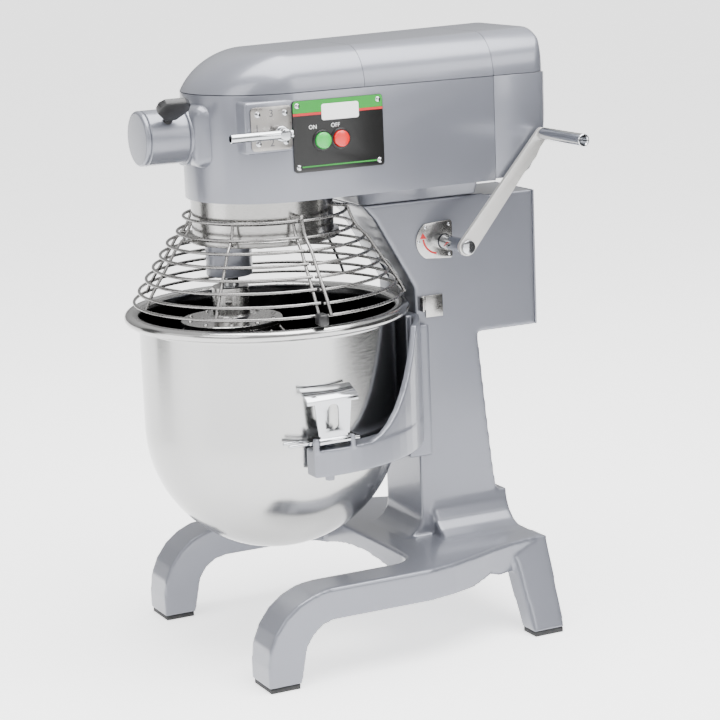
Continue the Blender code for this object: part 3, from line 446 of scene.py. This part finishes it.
def make_head():
    rear = COVER_CUTS[1] - GAP
    body = soften(slab(head_outline(0, rear), "XY", HEAD_LOW, SEAM_Z - GAP), 0.0012, 2)
    haunch_top = [(side * (HEAD_HALF - 0.0004), y, 0.609) for side in (1, -1) for y in (0.080, 0.262)]
    haunch_low = [(side * COLUMN_HALF, y, NECK_TOP + GAP) for side in (1, -1) for y in (0.112, 0.276)]
    lug = soften(box((-0.0450, HUB_Y + 0.0025, HUB_Z - 0.0385), (0.0450, -0.060, HUB_Z + 0.0385)), 0.014, 6)
    flange = soften(rod((0, HUB_Y + GAP, HUB_Z), (0, -0.095, HUB_Z), 0.0372, 96), 0.0012, 2)
    pad = soften(box((0.050, -0.061, 0.6360), (HEAD_HALF + GAP, 0.010, 0.6980)), 0.0035, 3)
    join(body, soften(hull(haunch_top + haunch_low), 0.006, 4, 20), lug, flange, pad)
    cut(body,
        slab(head_outline(0.005, 0.300), "XY", HEAD_LOW + 0.005, 0.720),
        box((-0.0405, 0.193, 0.540), (0.0405, 0.262, 0.600)),
        box((-0.0135, 0.165, 0.540), (0.0135, 0.196, 0.600)),
        rod((0, 0, 0.560), (0, 0, 0.600), 0.0305),
        rod((0, -0.140, HUB_Z), (0, -0.060, HUB_Z), 0.0105),
        rod((0.080, *GEAR_LEVER), (0.130, *GEAR_LEVER), SHAFT_BORE_R))
    for name in ("start_button", "stop_button"):
        low, high = extent(name)
        middle = (low + high) / 2
        cut(body, rod((0.080, middle.y, middle.z), (0.130, middle.y, middle.z), BUTTON_BORE_R))
    piece("head_shell", body, "frame", "silver_paint", "silver_paint", "head_housing", sharp=30)


def nose_depth(share):
    """How far the nose stands out at a share of the shoulder's rise: it leans back from the seam at once."""
    radius = (HEAD_TOP - SEAM_Z) / (1 - math.cos(NOSE_SLOPE))
    slope = math.acos(min(math.cos(NOSE_SLOPE) + share * (1 - math.cos(NOSE_SLOPE)), 1))
    return HEAD_HALF - radius * (math.sin(NOSE_SLOPE) - math.sin(slope))


def cover_path(front, rear, level):
    """The cover's outline at one level of its shoulder, from the right side round to the left."""
    inset = (HEAD_HALF - COVER_FLAT) * (1 - math.cos(level))
    half = HEAD_HALF - inset
    if front is None:
        depth = nose_depth(math.sin(level))
        nose = [(half * x, NOSE_Y + depth * y) for x, y in arc((0, 0), 1, 0, -180, 72)]
        return [(half, rear)] + nose + [(-half, rear)]
    if rear is None:
        corner = max(0.020 - inset, 0.006)
        end = HEAD_REAR - TAIL_LEAN * (1 - math.cos(level))
        turn = arc((half - corner, end - corner), corner, 0, 90, 10)
        return [(half, front)] + mirrored(turn) + [(-half, front)]
    return [(half, front), (half, rear)]


def cover_shell(front, rear, steps=20):
    """A cover whose shoulder is a quarter ellipse, with a nose or a tail end where it has one."""
    bm = bmesh.new()
    base = SEAM_Z + 2 * GAP
    rows = []
    for level in [math.radians(90 * index / steps) for index in range(steps + 1)]:
        path = cover_path(front, rear, level)
        heights = [base + (HEAD_TOP - base + TOP_TILT * (y - TILT_MIDDLE)) * math.sin(level)
                   for x, y in path]
        rows.append([bm.verts.new((x, y, z)) for (x, y), z in zip(path, heights)])
    if front is not None and rear is not None:
        rows += [[bm.verts.new((-vert.co.x, vert.co.y, vert.co.z)) for vert in row]
                 for row in reversed(rows)]
    else:
        bm.faces.new(rows[-1])
    for lower, upper in zip(rows, rows[1:]):
        for index in range(len(lower) - 1):
            bm.faces.new((lower[index], lower[index + 1], upper[index + 1], upper[index]))
    bmesh.ops.recalc_face_normals(bm, faces=bm.faces)
    if max(bm.faces, key=lambda face: face.calc_center_median().z).normal.z < 0:
        bmesh.ops.reverse_faces(bm, faces=bm.faces)
    shell = from_bmesh(bm)
    thick = shell.modifiers.new("wall", "SOLIDIFY")
    thick.thickness = 0.003
    thick.offset = -1
    if front is None:
        cut(shell, box((-0.150, -0.150, SEAM_Z - 0.010), (0.150, 0.150, base + 0.0001)))
    return shell


def make_covers():
    front = cover_shell(None, COVER_CUTS[0] - GAP)
    middle = cover_shell(COVER_CUTS[0] + GAP, COVER_CUTS[1] - GAP)
    tail = cover_shell(COVER_CUTS[1] + GAP, None)
    for shell, node in ((front, "front_cover"), (middle, "top_cover"), (tail, "motor_cover")):
        piece(node + "_shell", shell, "frame", "silver_paint", "silver_paint", node, sharp=30)
    keep("motor_housing", "silver_paint", 0.003)
    keep("rear_box_cover", "silver_paint", 0.0008)


def make_hub():
    length = HUB_Y - HUB_CAP_Y - GAP
    profile = [(0.0105, 0), (0.0105, length), (HUB_R - 0.0012, length), (HUB_R, length - 0.0012), (HUB_R, 0)]
    hub = turned(profile, (0, HUB_Y, HUB_Z), "XZ", 96, True)
    piece("hub_barrel", hub, "frame", "silver_paint", "silver_paint", "attachment_hub")
    depth = HUB_CAP_Y - HUB_FRONT
    cap = [(0, depth), (HUB_R - 0.0035, depth)]
    cap += arc((HUB_R - 0.0035, depth - 0.0035), 0.0035, 90, 0, 6)
    cap += [(HUB_R, 0.0014), (HUB_R - 0.0012, 0), (0, 0)]
    cap = turned(cap, (0, HUB_CAP_Y, HUB_Z), "XZ")
    piece("hub_cap_turned", cap, "frame", "silver_paint", "silver_paint", "hub_cap")

    radial = Vector((math.cos(SCREW_ANGLE), 0, math.sin(SCREW_ANGLE)))
    side = radial.cross(Vector((0, 1, 0)))
    foot = Vector((0, SCREW_Y, HUB_Z))
    corners = [foot + Vector((0, along, 0)) + side * over + radial * reach
               for half, reach, thick in THUMB_WING for along in (-half, half) for over in (-thick, thick)]
    wing = soften(hull(corners), 0.0011, 3, 20)
    join(wing, rod(foot + radial * 0.014, foot + radial * 0.048, 0.0041),
         *[soften(rod(foot + radial * reach, foot + radial * (reach + 0.0020), 0.0060), 0.0007, 2)
           for reach in (0.0345, 0.0375, 0.0405)])
    piece("thumb_screw_wing", wing, "hub_screw", "black_plastic", "black_plastic", "hub_thumb_screw",
          sharp=30)


# ---- controls ----
def words(text, size, y, z, x, finish, name):
    """Flat lettering on a face that looks along +X."""
    font = bpy.data.curves.new("words", "FONT")
    font.body = text
    font.size = size
    font.align_x = "CENTER"
    font.align_y = "CENTER"
    font.extrude = 0.00012
    font.resolution_u = 3
    piece(name, shape(font, Matrix.Translation((x, y, z)) @ PLANES["YZ"]), "frame", finish,
          "black_plastic" if finish == "panel_white" else "stainless")


def make_panel():
    back = PANEL_LOW.x
    face = back + 0.0022
    low, high = (PANEL_LOW.y, PANEL_LOW.z), (PANEL_HIGH.y, PANEL_HIGH.z)
    panel = soften(slab(rounded(low, high, 0.004), "YZ", back, face), 0.0005, 2)
    centres = []
    for name in ("start_button", "stop_button"):
        corner_low, corner_high = extent(name)
        centre = (corner_low + corner_high) / 2
        centres.append((centre.y, centre.z))
        ring = rod((back + 0.001, centre.y, centre.z), (back + 0.0042, centre.y, centre.z), 0.0128, 64)
        join(panel, soften(ring, 0.0010, 3))
    for y, z in centres:
        cut(panel, rod((0.09, y, z), (0.13, y, z), BUTTON_BORE_R, 64))
    piece("panel_plate", panel, "frame", "panel_black", "black_plastic", "control_panel")

    print_on, print_off = face - 0.00005, face + 0.00012
    left, right = low[0] + 0.0004, high[0] - 0.0004

    def strip(y_low, y_high, z_low, z_high):
        corners = [(y_low, z_low), (y_high, z_low), (y_high, z_high), (y_low, z_high)]
        return slab(corners, "YZ", print_on, print_off)

    band = rounded((left, high[1] - 0.0150), (right, high[1] - 0.0004), 0.0036)
    band = slab(band, "YZ", print_on, print_off)
    square = strip(left, right, high[1] - 0.0150, high[1] - 0.0090)
    piece("panel_green_band", join(band, square), "frame", "panel_green", "green_plastic")
    line = strip(left, right, high[1] - 0.0182, high[1] - 0.0152)
    piece("panel_red_line", line, "frame", "panel_red", "red_plastic")
    line = strip(low[0] + 0.010, high[0] - 0.010, low[1] + 0.0058, low[1] + 0.0074)
    piece("panel_green_line", line, "frame", "panel_green", "green_plastic")
    badge = slab(rounded((0.0375, high[1] - 0.0255), (0.0870, high[1] - 0.0060), 0.003), "YZ", print_on,
                 face + 0.0007)
    piece("panel_blank_badge", soften(badge, 0.0003, 2), "frame", "panel_white", "black_plastic")
    inset = 0.0062
    corners = [(y, z) for y in (low[0] + inset, high[0] - inset) for z in (low[1] + inset, high[1] - inset)]
    piece("panel_screws", screws(corners, face), "frame", "chrome", "chrome", sharp=30)
    words("ON", 0.0068, centres[0][0] - 0.012, centres[0][1] + 0.0165, face, "panel_white", "panel_word_on")
    words("OFF", 0.0068, centres[1][0] - 0.006, centres[1][1] + 0.0165, face, "panel_white",
          "panel_word_off")

    for node, finish in (("start_button", "green_plastic"), ("stop_button", "red_plastic")):
        button_low, button_high = extent(node)
        radius, length = (button_high.y - button_low.y) / 2, button_high.x - button_low.x
        centre = (button_low + button_high) / 2
        profile = [(0, length), (radius * 0.62, length)]
        profile += arc((radius - 0.0018, length - 0.0022), 0.0018, 80, 0, 6)
        profile += [(radius, 0), (0, 0)]
        cap = turned(profile, (button_low.x, centre.y, centre.z), "YZ", 64)
        piece(node + "_cap", cap, node, finish, finish, node)


def make_gear_lever():
    back, face = GEAR_LOW.x, GEAR_HIGH.x
    plate = slab(rounded((GEAR_LOW.y, GEAR_LOW.z), (GEAR_HIGH.y, GEAR_HIGH.z), 0.005), "YZ", back, face)
    cut(soften(plate, 0.0006, 2), rod((0.09, *GEAR_LEVER), (0.13, *GEAR_LEVER), SHAFT_BORE_R))
    piece("gear_plate_face", plate, "frame", "dull_steel", "stainless", "gear_plate")
    inset = 0.0088
    corners = [(y, z) for y in (GEAR_LOW.y + inset, GEAR_HIGH.y - inset)
               for z in (GEAR_LOW.z + inset, GEAR_HIGH.z - inset)]
    piece("gear_plate_screws", screws(corners, face, 0.0040, 0.0018), "frame", "chrome", "chrome", sharp=30)
    y, z = GEAR_LEVER
    middle = (GEAR_LOW.y + GEAR_HIGH.y) / 2
    for text, at_y, at_z in (("3", middle, GEAR_HIGH.z - 0.0085), ("2", middle, GEAR_LOW.z + 0.0085),
                             ("1", GEAR_LOW.y + 0.0075, z + 0.0070)):
        words(text, 0.0125, at_y, at_z, face - 0.00005, "cast_iron", "gear_number_" + text)
    lever = soften(rod((0.090, y, z), (0.1048, y, z), 0.0060), 0.0005, 1)
    join(lever, soften(rod((0.1046, y, z), (0.1150, y, z), 0.0095), 0.0015, 3),
         soften(rod((0.1140, y, z), (0.1262, y, z), 0.0072), 0.0010, 3),
         soften(rod((GEAR_ROD_X, y + 0.0105, z), (GEAR_ROD_X, y - 0.0700, z), 0.0054), 0.0012, 3))
    cut(lever, rod((GEAR_ROD_X, y - 0.0720, z), (GEAR_ROD_X, y - 0.0600, z), 0.0036))
    piece("gear_lever_arm", lever, "gear_lever", "chrome", "chrome", "gear_lever", sharp=30)


def make_lift_lever():
    low, high = extent("lift_label_plate")
    back, face = low.x, high.x
    outline = arc((0.2115, 0.4995), 0.0252, 118, 242, 12) + arc((0.2335, 0.4795), 0.0045, 270, 360, 4)
    outline += arc((0.2335, 0.5195), 0.0045, 0, 90, 4)
    plate = cut(soften(slab(outline, "YZ", back, face), 0.0004, 2),
                rod((0.04, LEVER_Y, LEVER_Z), (0.07, LEVER_Y, LEVER_Z), 0.0102))
    piece("lift_label_face", plate, "frame", "stainless", "stainless", "lift_label_plate")
    centres = [(0.1995, 0.5170), (0.1895, 0.4995), (0.2330, 0.5185), (0.2330, 0.4805)]
    piece("lift_label_screws", screws(centres, face, 0.0022, 0.0010), "frame", "chrome", "chrome", sharp=30)
    print_on, print_off = face - 0.00005, face + 0.00015
    sweep = arc(ARROW_CENTRE, 0.0225, 185, 262, 10) + arc(ARROW_CENTRE, 0.0200, 262, 185, 10)
    head = slab([(0.1915, 0.5030), (0.2010, 0.5030), (0.1958, 0.5105)], "YZ", print_on, print_off)
    arrow = join(slab(sweep, "YZ", print_on, print_off), head)
    piece("lift_label_arrow", arrow, "frame", "panel_red", "red_plastic")

    keep("lift_shaft", "chrome", 0.0006)
    along = (math.cos(LEVER_ANGLE), math.sin(LEVER_ANGLE))
    across = (-along[1], along[0])
    tip = (LEVER_Y + LEVER_LENGTH * along[0], LEVER_Z + LEVER_LENGTH * along[1])
    turn = math.degrees(LEVER_ANGLE)

    def on_arm(distance, offset):
        return (LEVER_Y + distance * along[0] + offset * across[0],
                LEVER_Z + distance * along[1] + offset * across[1])

    outline = arc((LEVER_Y, LEVER_Z), 0.0112, turn + 90, turn + 270, 16)
    outline += [on_arm(0.120, -0.0090), on_arm(0.145, -0.0105), on_arm(0.158, -0.0078)]
    outline += arc(tip, 0.0078, turn - 90, turn + 90, 10)
    arm = soften(slab(outline, "YZ", LEVER_X, LEVER_X + LEVER_T), 0.0022, 4)
    cut(arm, rod((0.09, LEVER_Y, LEVER_Z), (0.13, LEVER_Y, LEVER_Z), 0.0093))
    piece("lift_arm_bar", arm, "lift_lever", "satin_steel", "chrome", "lift_arm", sharp=30)
    start = LEVER_X + LEVER_T + GAP
    length = GRIP_END - start
    profile = [(0.0050, length - 0.0150), (0.0050, length - 0.0016), (0.0062, length), (0.0072, length)]
    profile += [(0.0080, length - 0.0010), (0.0080, 0.0030), (0.0072, 0.0008), (0.0058, 0), (0, 0)]
    grip = turned([(0, length - 0.0150)] + profile, (start, *tip), "YZ", 64)
    piece("lift_grip_turned", grip, "lift_grip", "chrome", "chrome", "lift_grip", sharp=30)


# ---- planetary head, whip and guard ----
def make_planetary():
    low, high = extent("collar_band")
    band = [(0.0835, low.z), (0.0835, high.z), (DRUM_R - 0.0006, high.z), (DRUM_R, high.z - 0.0006),
            (DRUM_R, low.z + 0.0006), (DRUM_R - 0.0006, low.z)]
    piece("collar_band_turned", turned(band, closed=True, steps=160), "frame", "stainless", "stainless",
          "collar_band")
    low, high = extent("guard_collar")
    outer = high.x
    collar = [(0.0840, low.z), (0.0840, high.z), (DRUM_R - 0.0006, high.z), (DRUM_R, high.z - 0.0006),
              (DRUM_R, low.z + 0.0092)]
    collar += arc((outer - 0.0025, low.z + 0.0058), 0.0025, 90, 0, 5) + [(outer, low.z + 0.0008)]
    collar += [(outer - 0.0008, low.z)]
    piece("guard_collar_turned", turned(collar, closed=True, steps=160), "guard", "stainless", "stainless",
          "guard_collar")
    x, y = SPINDLE
    low, high = extent("planet_carrier")
    carrier = [(0, high.z), (0.0790, high.z), (0.0800, high.z - 0.001), (0.0800, 0.5245), (0.0790, 0.5235),
               (0.0, 0.5235)]
    carrier = turned(carrier, steps=128)
    foot = [(0, 0.530), (0.0288, 0.530), (0.0288, low.z + 0.0020), (0.0282, low.z + 0.0008), (0.0270, low.z),
            (0, low.z)]
    join(carrier, turned(foot, (x, y, 0)))
    cut(carrier, rod((x, y, 0.46), (x, y, 0.56), 0.0113), rod((0, 0, 0.51), (0, 0, 0.56), 0.0093))
    piece("planet_carrier_turned", carrier, "planetary", "silver_paint", "silver_paint", "planet_carrier")
    plug = soften(rod((*PLUG, 0.5250), (*PLUG, 0.5165), 0.0070), 0.001)
    piece("carrier_plug", plug, "planetary", "rubber", "rubber")
    keep("spindle_shaft", "chrome", 0.0004)


def whip_path(angle, bottom):
    widest, belly, top = 0.105, 0.300, 0.4145
    half = []
    for index in range(12):
        share = 1 - index / 11
        half.append((widest - 0.050 * share ** 2, belly + (top - belly) * share))
    for index in range(1, 25):
        turn = math.radians(3.75 * index)
        half.append((widest * max(math.cos(turn), 0) ** 0.85, belly - (belly - bottom) * math.sin(turn)))
    path = half + [(-r, z) for r, z in reversed(half[:-1])]
    x, y = SPINDLE
    return [(x + r * math.cos(angle), y + r * math.sin(angle), z) for r, z in path]


def make_whip():
    x, y = SPINDLE
    top, low = PLATE_HIGH.z, PLATE_LOW.z
    profile = [(0.0113, low), (0.0113, top), (0.0215, top), (0.0230, top - 0.0015), (0.0230, 0.4290)]
    profile += arc((0.0290, 0.4290), 0.0060, 180, 270, 5)
    profile += [(0.0625, 0.4222), (0.0635, 0.4212), (0.0635, low + 0.0008), (0.0627, low)]
    hub = turned(profile, (x, y, 0), closed=True, steps=128)
    heads = []
    for index in range(10):
        angle = math.radians(36 * index + 12)
        at = (x + 0.0540 * math.cos(angle), y + 0.0540 * math.sin(angle))
        heads.append(turned([(0, 0.4246), (0.0016, 0.4243), (0.0028, 0.4234), (0.0034, 0.4215), (0, 0.4215)],
                            (*at, 0), steps=20))
    angle = math.radians(-30)
    pin = rod((x + 0.016 * math.cos(angle), y + 0.016 * math.sin(angle), 0.446),
              (x + 0.0255 * math.cos(angle), y + 0.0255 * math.sin(angle), 0.446), 0.0042)
    hub = join(hub, *heads, soften(pin, 0.0006))
    piece("whip_hub_turned", hub, "spindle", "stainless", "stainless", "whip_hub")
    cross = turned([(0.0500, 0.4100), (0.0500, 0.4162), (0.0600, 0.4162), (0.0600, 0.4100)], (x, y, 0),
                   closed=True)
    cage = wires([whip_path(math.radians(30 * index), 0.160 + 0.0048 * index) for index in range(6)])
    piece("whip_ring", soften(cross, 0.0006), "spindle", "stainless", "stainless")
    piece("whip_cage", cage, "spindle", "wire", "stainless", "whip_wires")


def guard_wires(start, end, posts, widen, post_side, band):
    paths = []
    for radius, height in GUARD_RINGS:
        paths.append([(a, b, height) for a, b in arc((0, 0), radius + widen, start, end, 72)])
    spokes = []
    for angle in posts:
        c, s = math.cos(math.radians(angle)), math.sin(math.radians(angle))
        lean = widen + post_side * 0.0034
        rail = [((radius + lean) * c, (radius + lean) * s, height) for radius, height in GUARD_RINGS]
        height, reach = GUARD_RINGS[1][1] - 0.0065, GUARD_RINGS[1][0] + 0.0042
        if post_side > 0:
            height, reach = SPOKE_Z, GUARD_RINGS[0][0] + lean
            rail.insert(0, (reach * c, reach * s, SPOKE_Z))
        paths.append(smoothed(rail, 4))
        spokes.append([((band + GAP) * c, (band + GAP) * s, height), (reach * c, reach * s, height)])
    return wires(paths + spokes, sides=12)


def smoothed(points, count):
    """Catmull-Rom points through a few given ones."""
    ends = [points[0]] + list(points) + [points[-1]]
    path = []
    for p0, p1, p2, p3 in zip(ends, ends[1:], ends[2:], ends[3:]):
        a, b, c, d = (Vector(p) for p in (p0, p1, p2, p3))
        for index in range(count):
            t = index / count
            path.append(tuple(0.5 * (2 * b + (c - a) * t + (2 * a - 5 * b + 4 * c - d) * t * t
                                     + (3 * b - a - 3 * c + d) * t ** 3)))
    return path + [tuple(points[-1])]


def make_guard():
    collar_r = extent("guard_collar")[1].x
    front = guard_wires(-180, 0, (-178.6, -134, -90, -46, -1.4), 0, -1, collar_r)
    piece("front_guard_wires", front, "guard", "wire", "stainless", "front_guard")
    rear = guard_wires(0.6, 179.4, (2.2, 60, 120, 177.8), REAR_GUARD_STEP, 1, DRUM_R)
    piece("rear_guard_wires", rear, "frame", "wire", "stainless", "rear_guard")
    keep("guard_knob", "black_plastic", 0.0008)


# ---- bowl, clamps and small parts ----
def make_bowl():
    def wall(radius, rim):
        points = [(radius * math.sin(math.radians(a)), BOWL_MID_Z - radius * math.cos(math.radians(a)))
                  for a in range(0, 90, 4)]
        points[0] = (0, points[0][1])
        return points + [(radius, BOWL_MID_Z + 0.003)] + rim

    inside = wall(BOWL_R - BOWL_T, [(BOWL_R - BOWL_T, 0.419), (0.1590, 0.4245), (0.1602, 0.4290),
                                    (0.1622, 0.4322)])
    roll = arc((0.1695, RIM_Z - 0.0072), 0.0072, 100, 60, 3)
    roll += arc((RIM_R - 0.0066, RIM_Z - 0.0068), 0.0066, 75, -75, 10)
    outside = wall(BOWL_R, [(BOWL_R, 0.4150), (0.1606, 0.4190), (0.1625, 0.4205)])
    bowl = turned(inside + roll + [(0.1700, 0.4200)] + outside[::-1], steps=192)
    shell = piece("bowl_shell", bowl, "lift", "polished_stainless", "polished_stainless", "bowl", sharp=50)
    # the inward faces below the rim take the near-black steel copy: painted shade inside the bowl
    shell.data.materials.append(MATERIALS["bowl_inside_painted_shade"])
    for face in shell.data.polygons:
        out = Vector((face.center.x, face.center.y, min(face.center.z - BOWL_MID_Z, 0)))
        if face.normal.dot(out) < 0 and face.center.z < RIM_Z - 0.004:
            face.material_index = 1
    for name, side in (("right", 1), ("left", -1)):
        edge = sorted((side * 0.140, side * 0.1805))
        ear = soften(box((edge[0], -0.032, 0.2935), (edge[1], 0.035, 0.2982)), 0.0015)
        for x in (0.1600, 0.1765):
            prong = rod((side * x, -0.058, 0.2958), (side * x, -0.028, 0.2958), 0.0020, 24)
            join(ear, soften(prong, 0.0006, 2))
        cut(ear, rod((0, 0, 0.20), (0, 0, 0.35), BOWL_R - 0.0002, 192),
            rod((side * 0.1705, -0.002, 0.28), (side * 0.1705, -0.002, 0.31), 0.0056))
        piece("bowl_ear_" + name, ear, "lift", "chrome", "polished_stainless")


def make_clamps():
    x, z = CLAMP_PIN
    for name, side in (("right", 1), ("left", -1)):
        section = [(x - 0.0015, z + 0.007), (x + 0.0012, z + 0.007), (x + 0.0012, 0.3490),
                   (x - 0.0010, 0.3518), (0.1650, 0.3612), (0.1634, 0.3606), (0.1630, 0.3586),
                   (x - 0.0036, 0.3490), (x - 0.0015, 0.3465)]
        frame_plate = slab([(side * a, b) for a, b in section], "XZ", -0.0365, 0.0305)
        window = sorted((side * (x - 0.010), side * (x + 0.010)))
        trims = [slab([(ya, 0.3000), (ya, 0.3445), (yb, 0.3445), (yc, 0.3000)], "YZ", *window)
                 for ya, yb, yc in CLAMP_TRIMS]
        slot = slab(rounded((-0.0100, 0.3120), (0.0040, 0.3430), 0.0065), "YZ", *window)
        cut(frame_plate, *trims, slot)
        soften(frame_plate, 0.0006, 2)
        foot = soften(box((min(side * (x - 0.0015), side * (x + 0.0012)), -0.0210, z + 0.002),
                          (max(side * (x - 0.0015), side * (x + 0.0012)), 0.0150, z + 0.010)), 0.0004, 2)
        barrel = soften(rod((side * x, -0.0235, z), (side * x, 0.0175, z), 0.0044), 0.0006, 2)
        toe = sorted((side * 0.1760, side * (x - 0.001)))
        toe_plate = soften(box((toe[0], -0.0100, 0.2995), (toe[1], 0.0120, 0.3025)), 0.0006, 2)
        join(frame_plate, foot, barrel, toe_plate)
        cut(frame_plate, rod((side * x, -0.04, z), (side * x, 0.04, z), 0.0026))
        piece("bowl_clamp_plate_" + name, frame_plate, "clamp_" + name, "chrome", "chrome",
              "bowl_clamp_" + name, sharp=30)


def keep_the_rest():
    """Every CAD node that still shows gets its slot's finish."""
    record = frame["record"]
    slots = {part["node"]: part["material_slot"] for part in record["subparts"]}
    broken = {"rubber": 0.0012, "black_plastic": 0.0008, "stainless": 0.0004}
    for node, obj in frame["nodes"].items():
        if not obj.modifiers and not obj.hide_render:
            keep(node, slots[node], broken.get(slots[node], 0.0))


# ---- studio ----
def make_floor():
    bm = bmesh.new()
    bmesh.ops.create_grid(bm, x_segments=1, y_segments=1, size=FLOOR_HALF)
    floor = from_bmesh(bm)
    SHAPES.remove(floor)
    floor.name = "floor"
    made, tree, shader = new_material("floor")
    tree.links.new(ramp(tree, noise(tree, 3, 2), 0.86, 0.88), shader.inputs["Base Color"])
    shader.inputs["Roughness"].default_value = 0.7
    shader.inputs["Emission Color"].default_value = (1, 1, 1, 1)
    shader.inputs["Emission Strength"].default_value = FLOOR_GLOW
    floor.data.materials.append(made)


def area_light(name, place, target, size, power):
    data = bpy.data.lights.new(name, "AREA")
    data.shape = "RECTANGLE"
    data.size, data.size_y = size
    data.energy = power
    lamp = bpy.data.objects.new(name, data)
    bpy.context.scene.collection.objects.link(lamp)
    lamp.location = Vector(place) + ORIGIN
    lamp.rotation_mode = "QUATERNION"
    lamp.rotation_quaternion = (Vector(target) - Vector(place)).to_track_quat("-Z", "Y")


def make_world():
    """A white room that darkens towards the horizon, so that polished parts show some contrast."""
    world = bpy.data.worlds.new("studio")
    world.use_nodes = True
    tree = world.node_tree
    place = tree.nodes.new("ShaderNodeTexCoord")
    split = tree.nodes.new("ShaderNodeSeparateXYZ")
    tree.links.new(place.outputs["Generated"], split.inputs["Vector"])
    shade = ramp(tree, split.outputs["Z"], 0.42, 1.15, 0.05, 0.55)
    background = tree.nodes["Background"]
    tree.links.new(shade, background.inputs["Color"])
    background.inputs["Strength"].default_value = WORLD_STRENGTH
    bpy.context.scene.world = world


def dark_card(name, azimuth, distance, width, height, value):
    """A standing card outside the view, for the bowl and the drum to reflect."""
    angle = math.radians(azimuth)
    centre = Vector((math.cos(angle), math.sin(angle), 0)) * distance
    along = Vector((-math.sin(angle), math.cos(angle), 0)) * width / 2
    bm = bmesh.new()
    corners = [centre - along, centre + along, centre + along + Vector((0, 0, height)),
               centre - along + Vector((0, 0, height))]
    bm.faces.new([bm.verts.new(corner) for corner in corners])
    card = from_bmesh(bm)
    SHAPES.remove(card)
    card.name = name
    card.data.materials.append(finish_material(name, (value, value, value), 0.05, 0.0, (0.7, 0.8), 20, 0.0))


def make_studio():
    make_floor()
    make_world()
    dark_card("card_rear_right", 68, 1.25, 1.7, 1.0, 0.02)
    dark_card("card_front_left", -128, 1.5, 0.55, 1.3, 0.02)
    for light in LIGHTS:
        area_light(*light)


def make_camera():
    """The camera stands low on the control side, turned a little about its own axis."""
    azimuth, elevation = math.radians(CAMERA_AZIMUTH), math.radians(CAMERA_ELEVATION)
    roll = math.radians(CAMERA_ROLL)
    back = Vector((math.sin(azimuth) * math.cos(elevation), -math.cos(azimuth) * math.cos(elevation),
                   math.sin(elevation)))
    right = Vector((math.cos(azimuth), math.sin(azimuth), 0))
    up = back.cross(right)
    turned_right = right * math.cos(roll) - up * math.sin(roll)
    turned_up = right * math.sin(roll) + up * math.cos(roll)
    data = bpy.data.cameras.new("camera")
    data.lens = CAMERA_LENS
    data.sensor_width = CAMERA_SENSOR
    camera = bpy.data.objects.new("camera", data)
    bpy.context.scene.collection.objects.link(camera)
    turn = Matrix((turned_right, turned_up, back)).transposed().to_4x4()
    camera.matrix_world = Matrix.Translation(ORIGIN + Vector(CAMERA_PLACE)) @ turn
    bpy.context.scene.camera = camera


make_camera()
make_castings()
make_head()
make_covers()
make_hub()
make_panel()
make_gear_lever()
make_lift_lever()
make_planetary()
make_whip()
make_guard()
make_bowl()
make_clamps()
keep_the_rest()
make_studio()
for leftover in SHAPES:
    bpy.data.objects.remove(leftover, do_unlink=True)
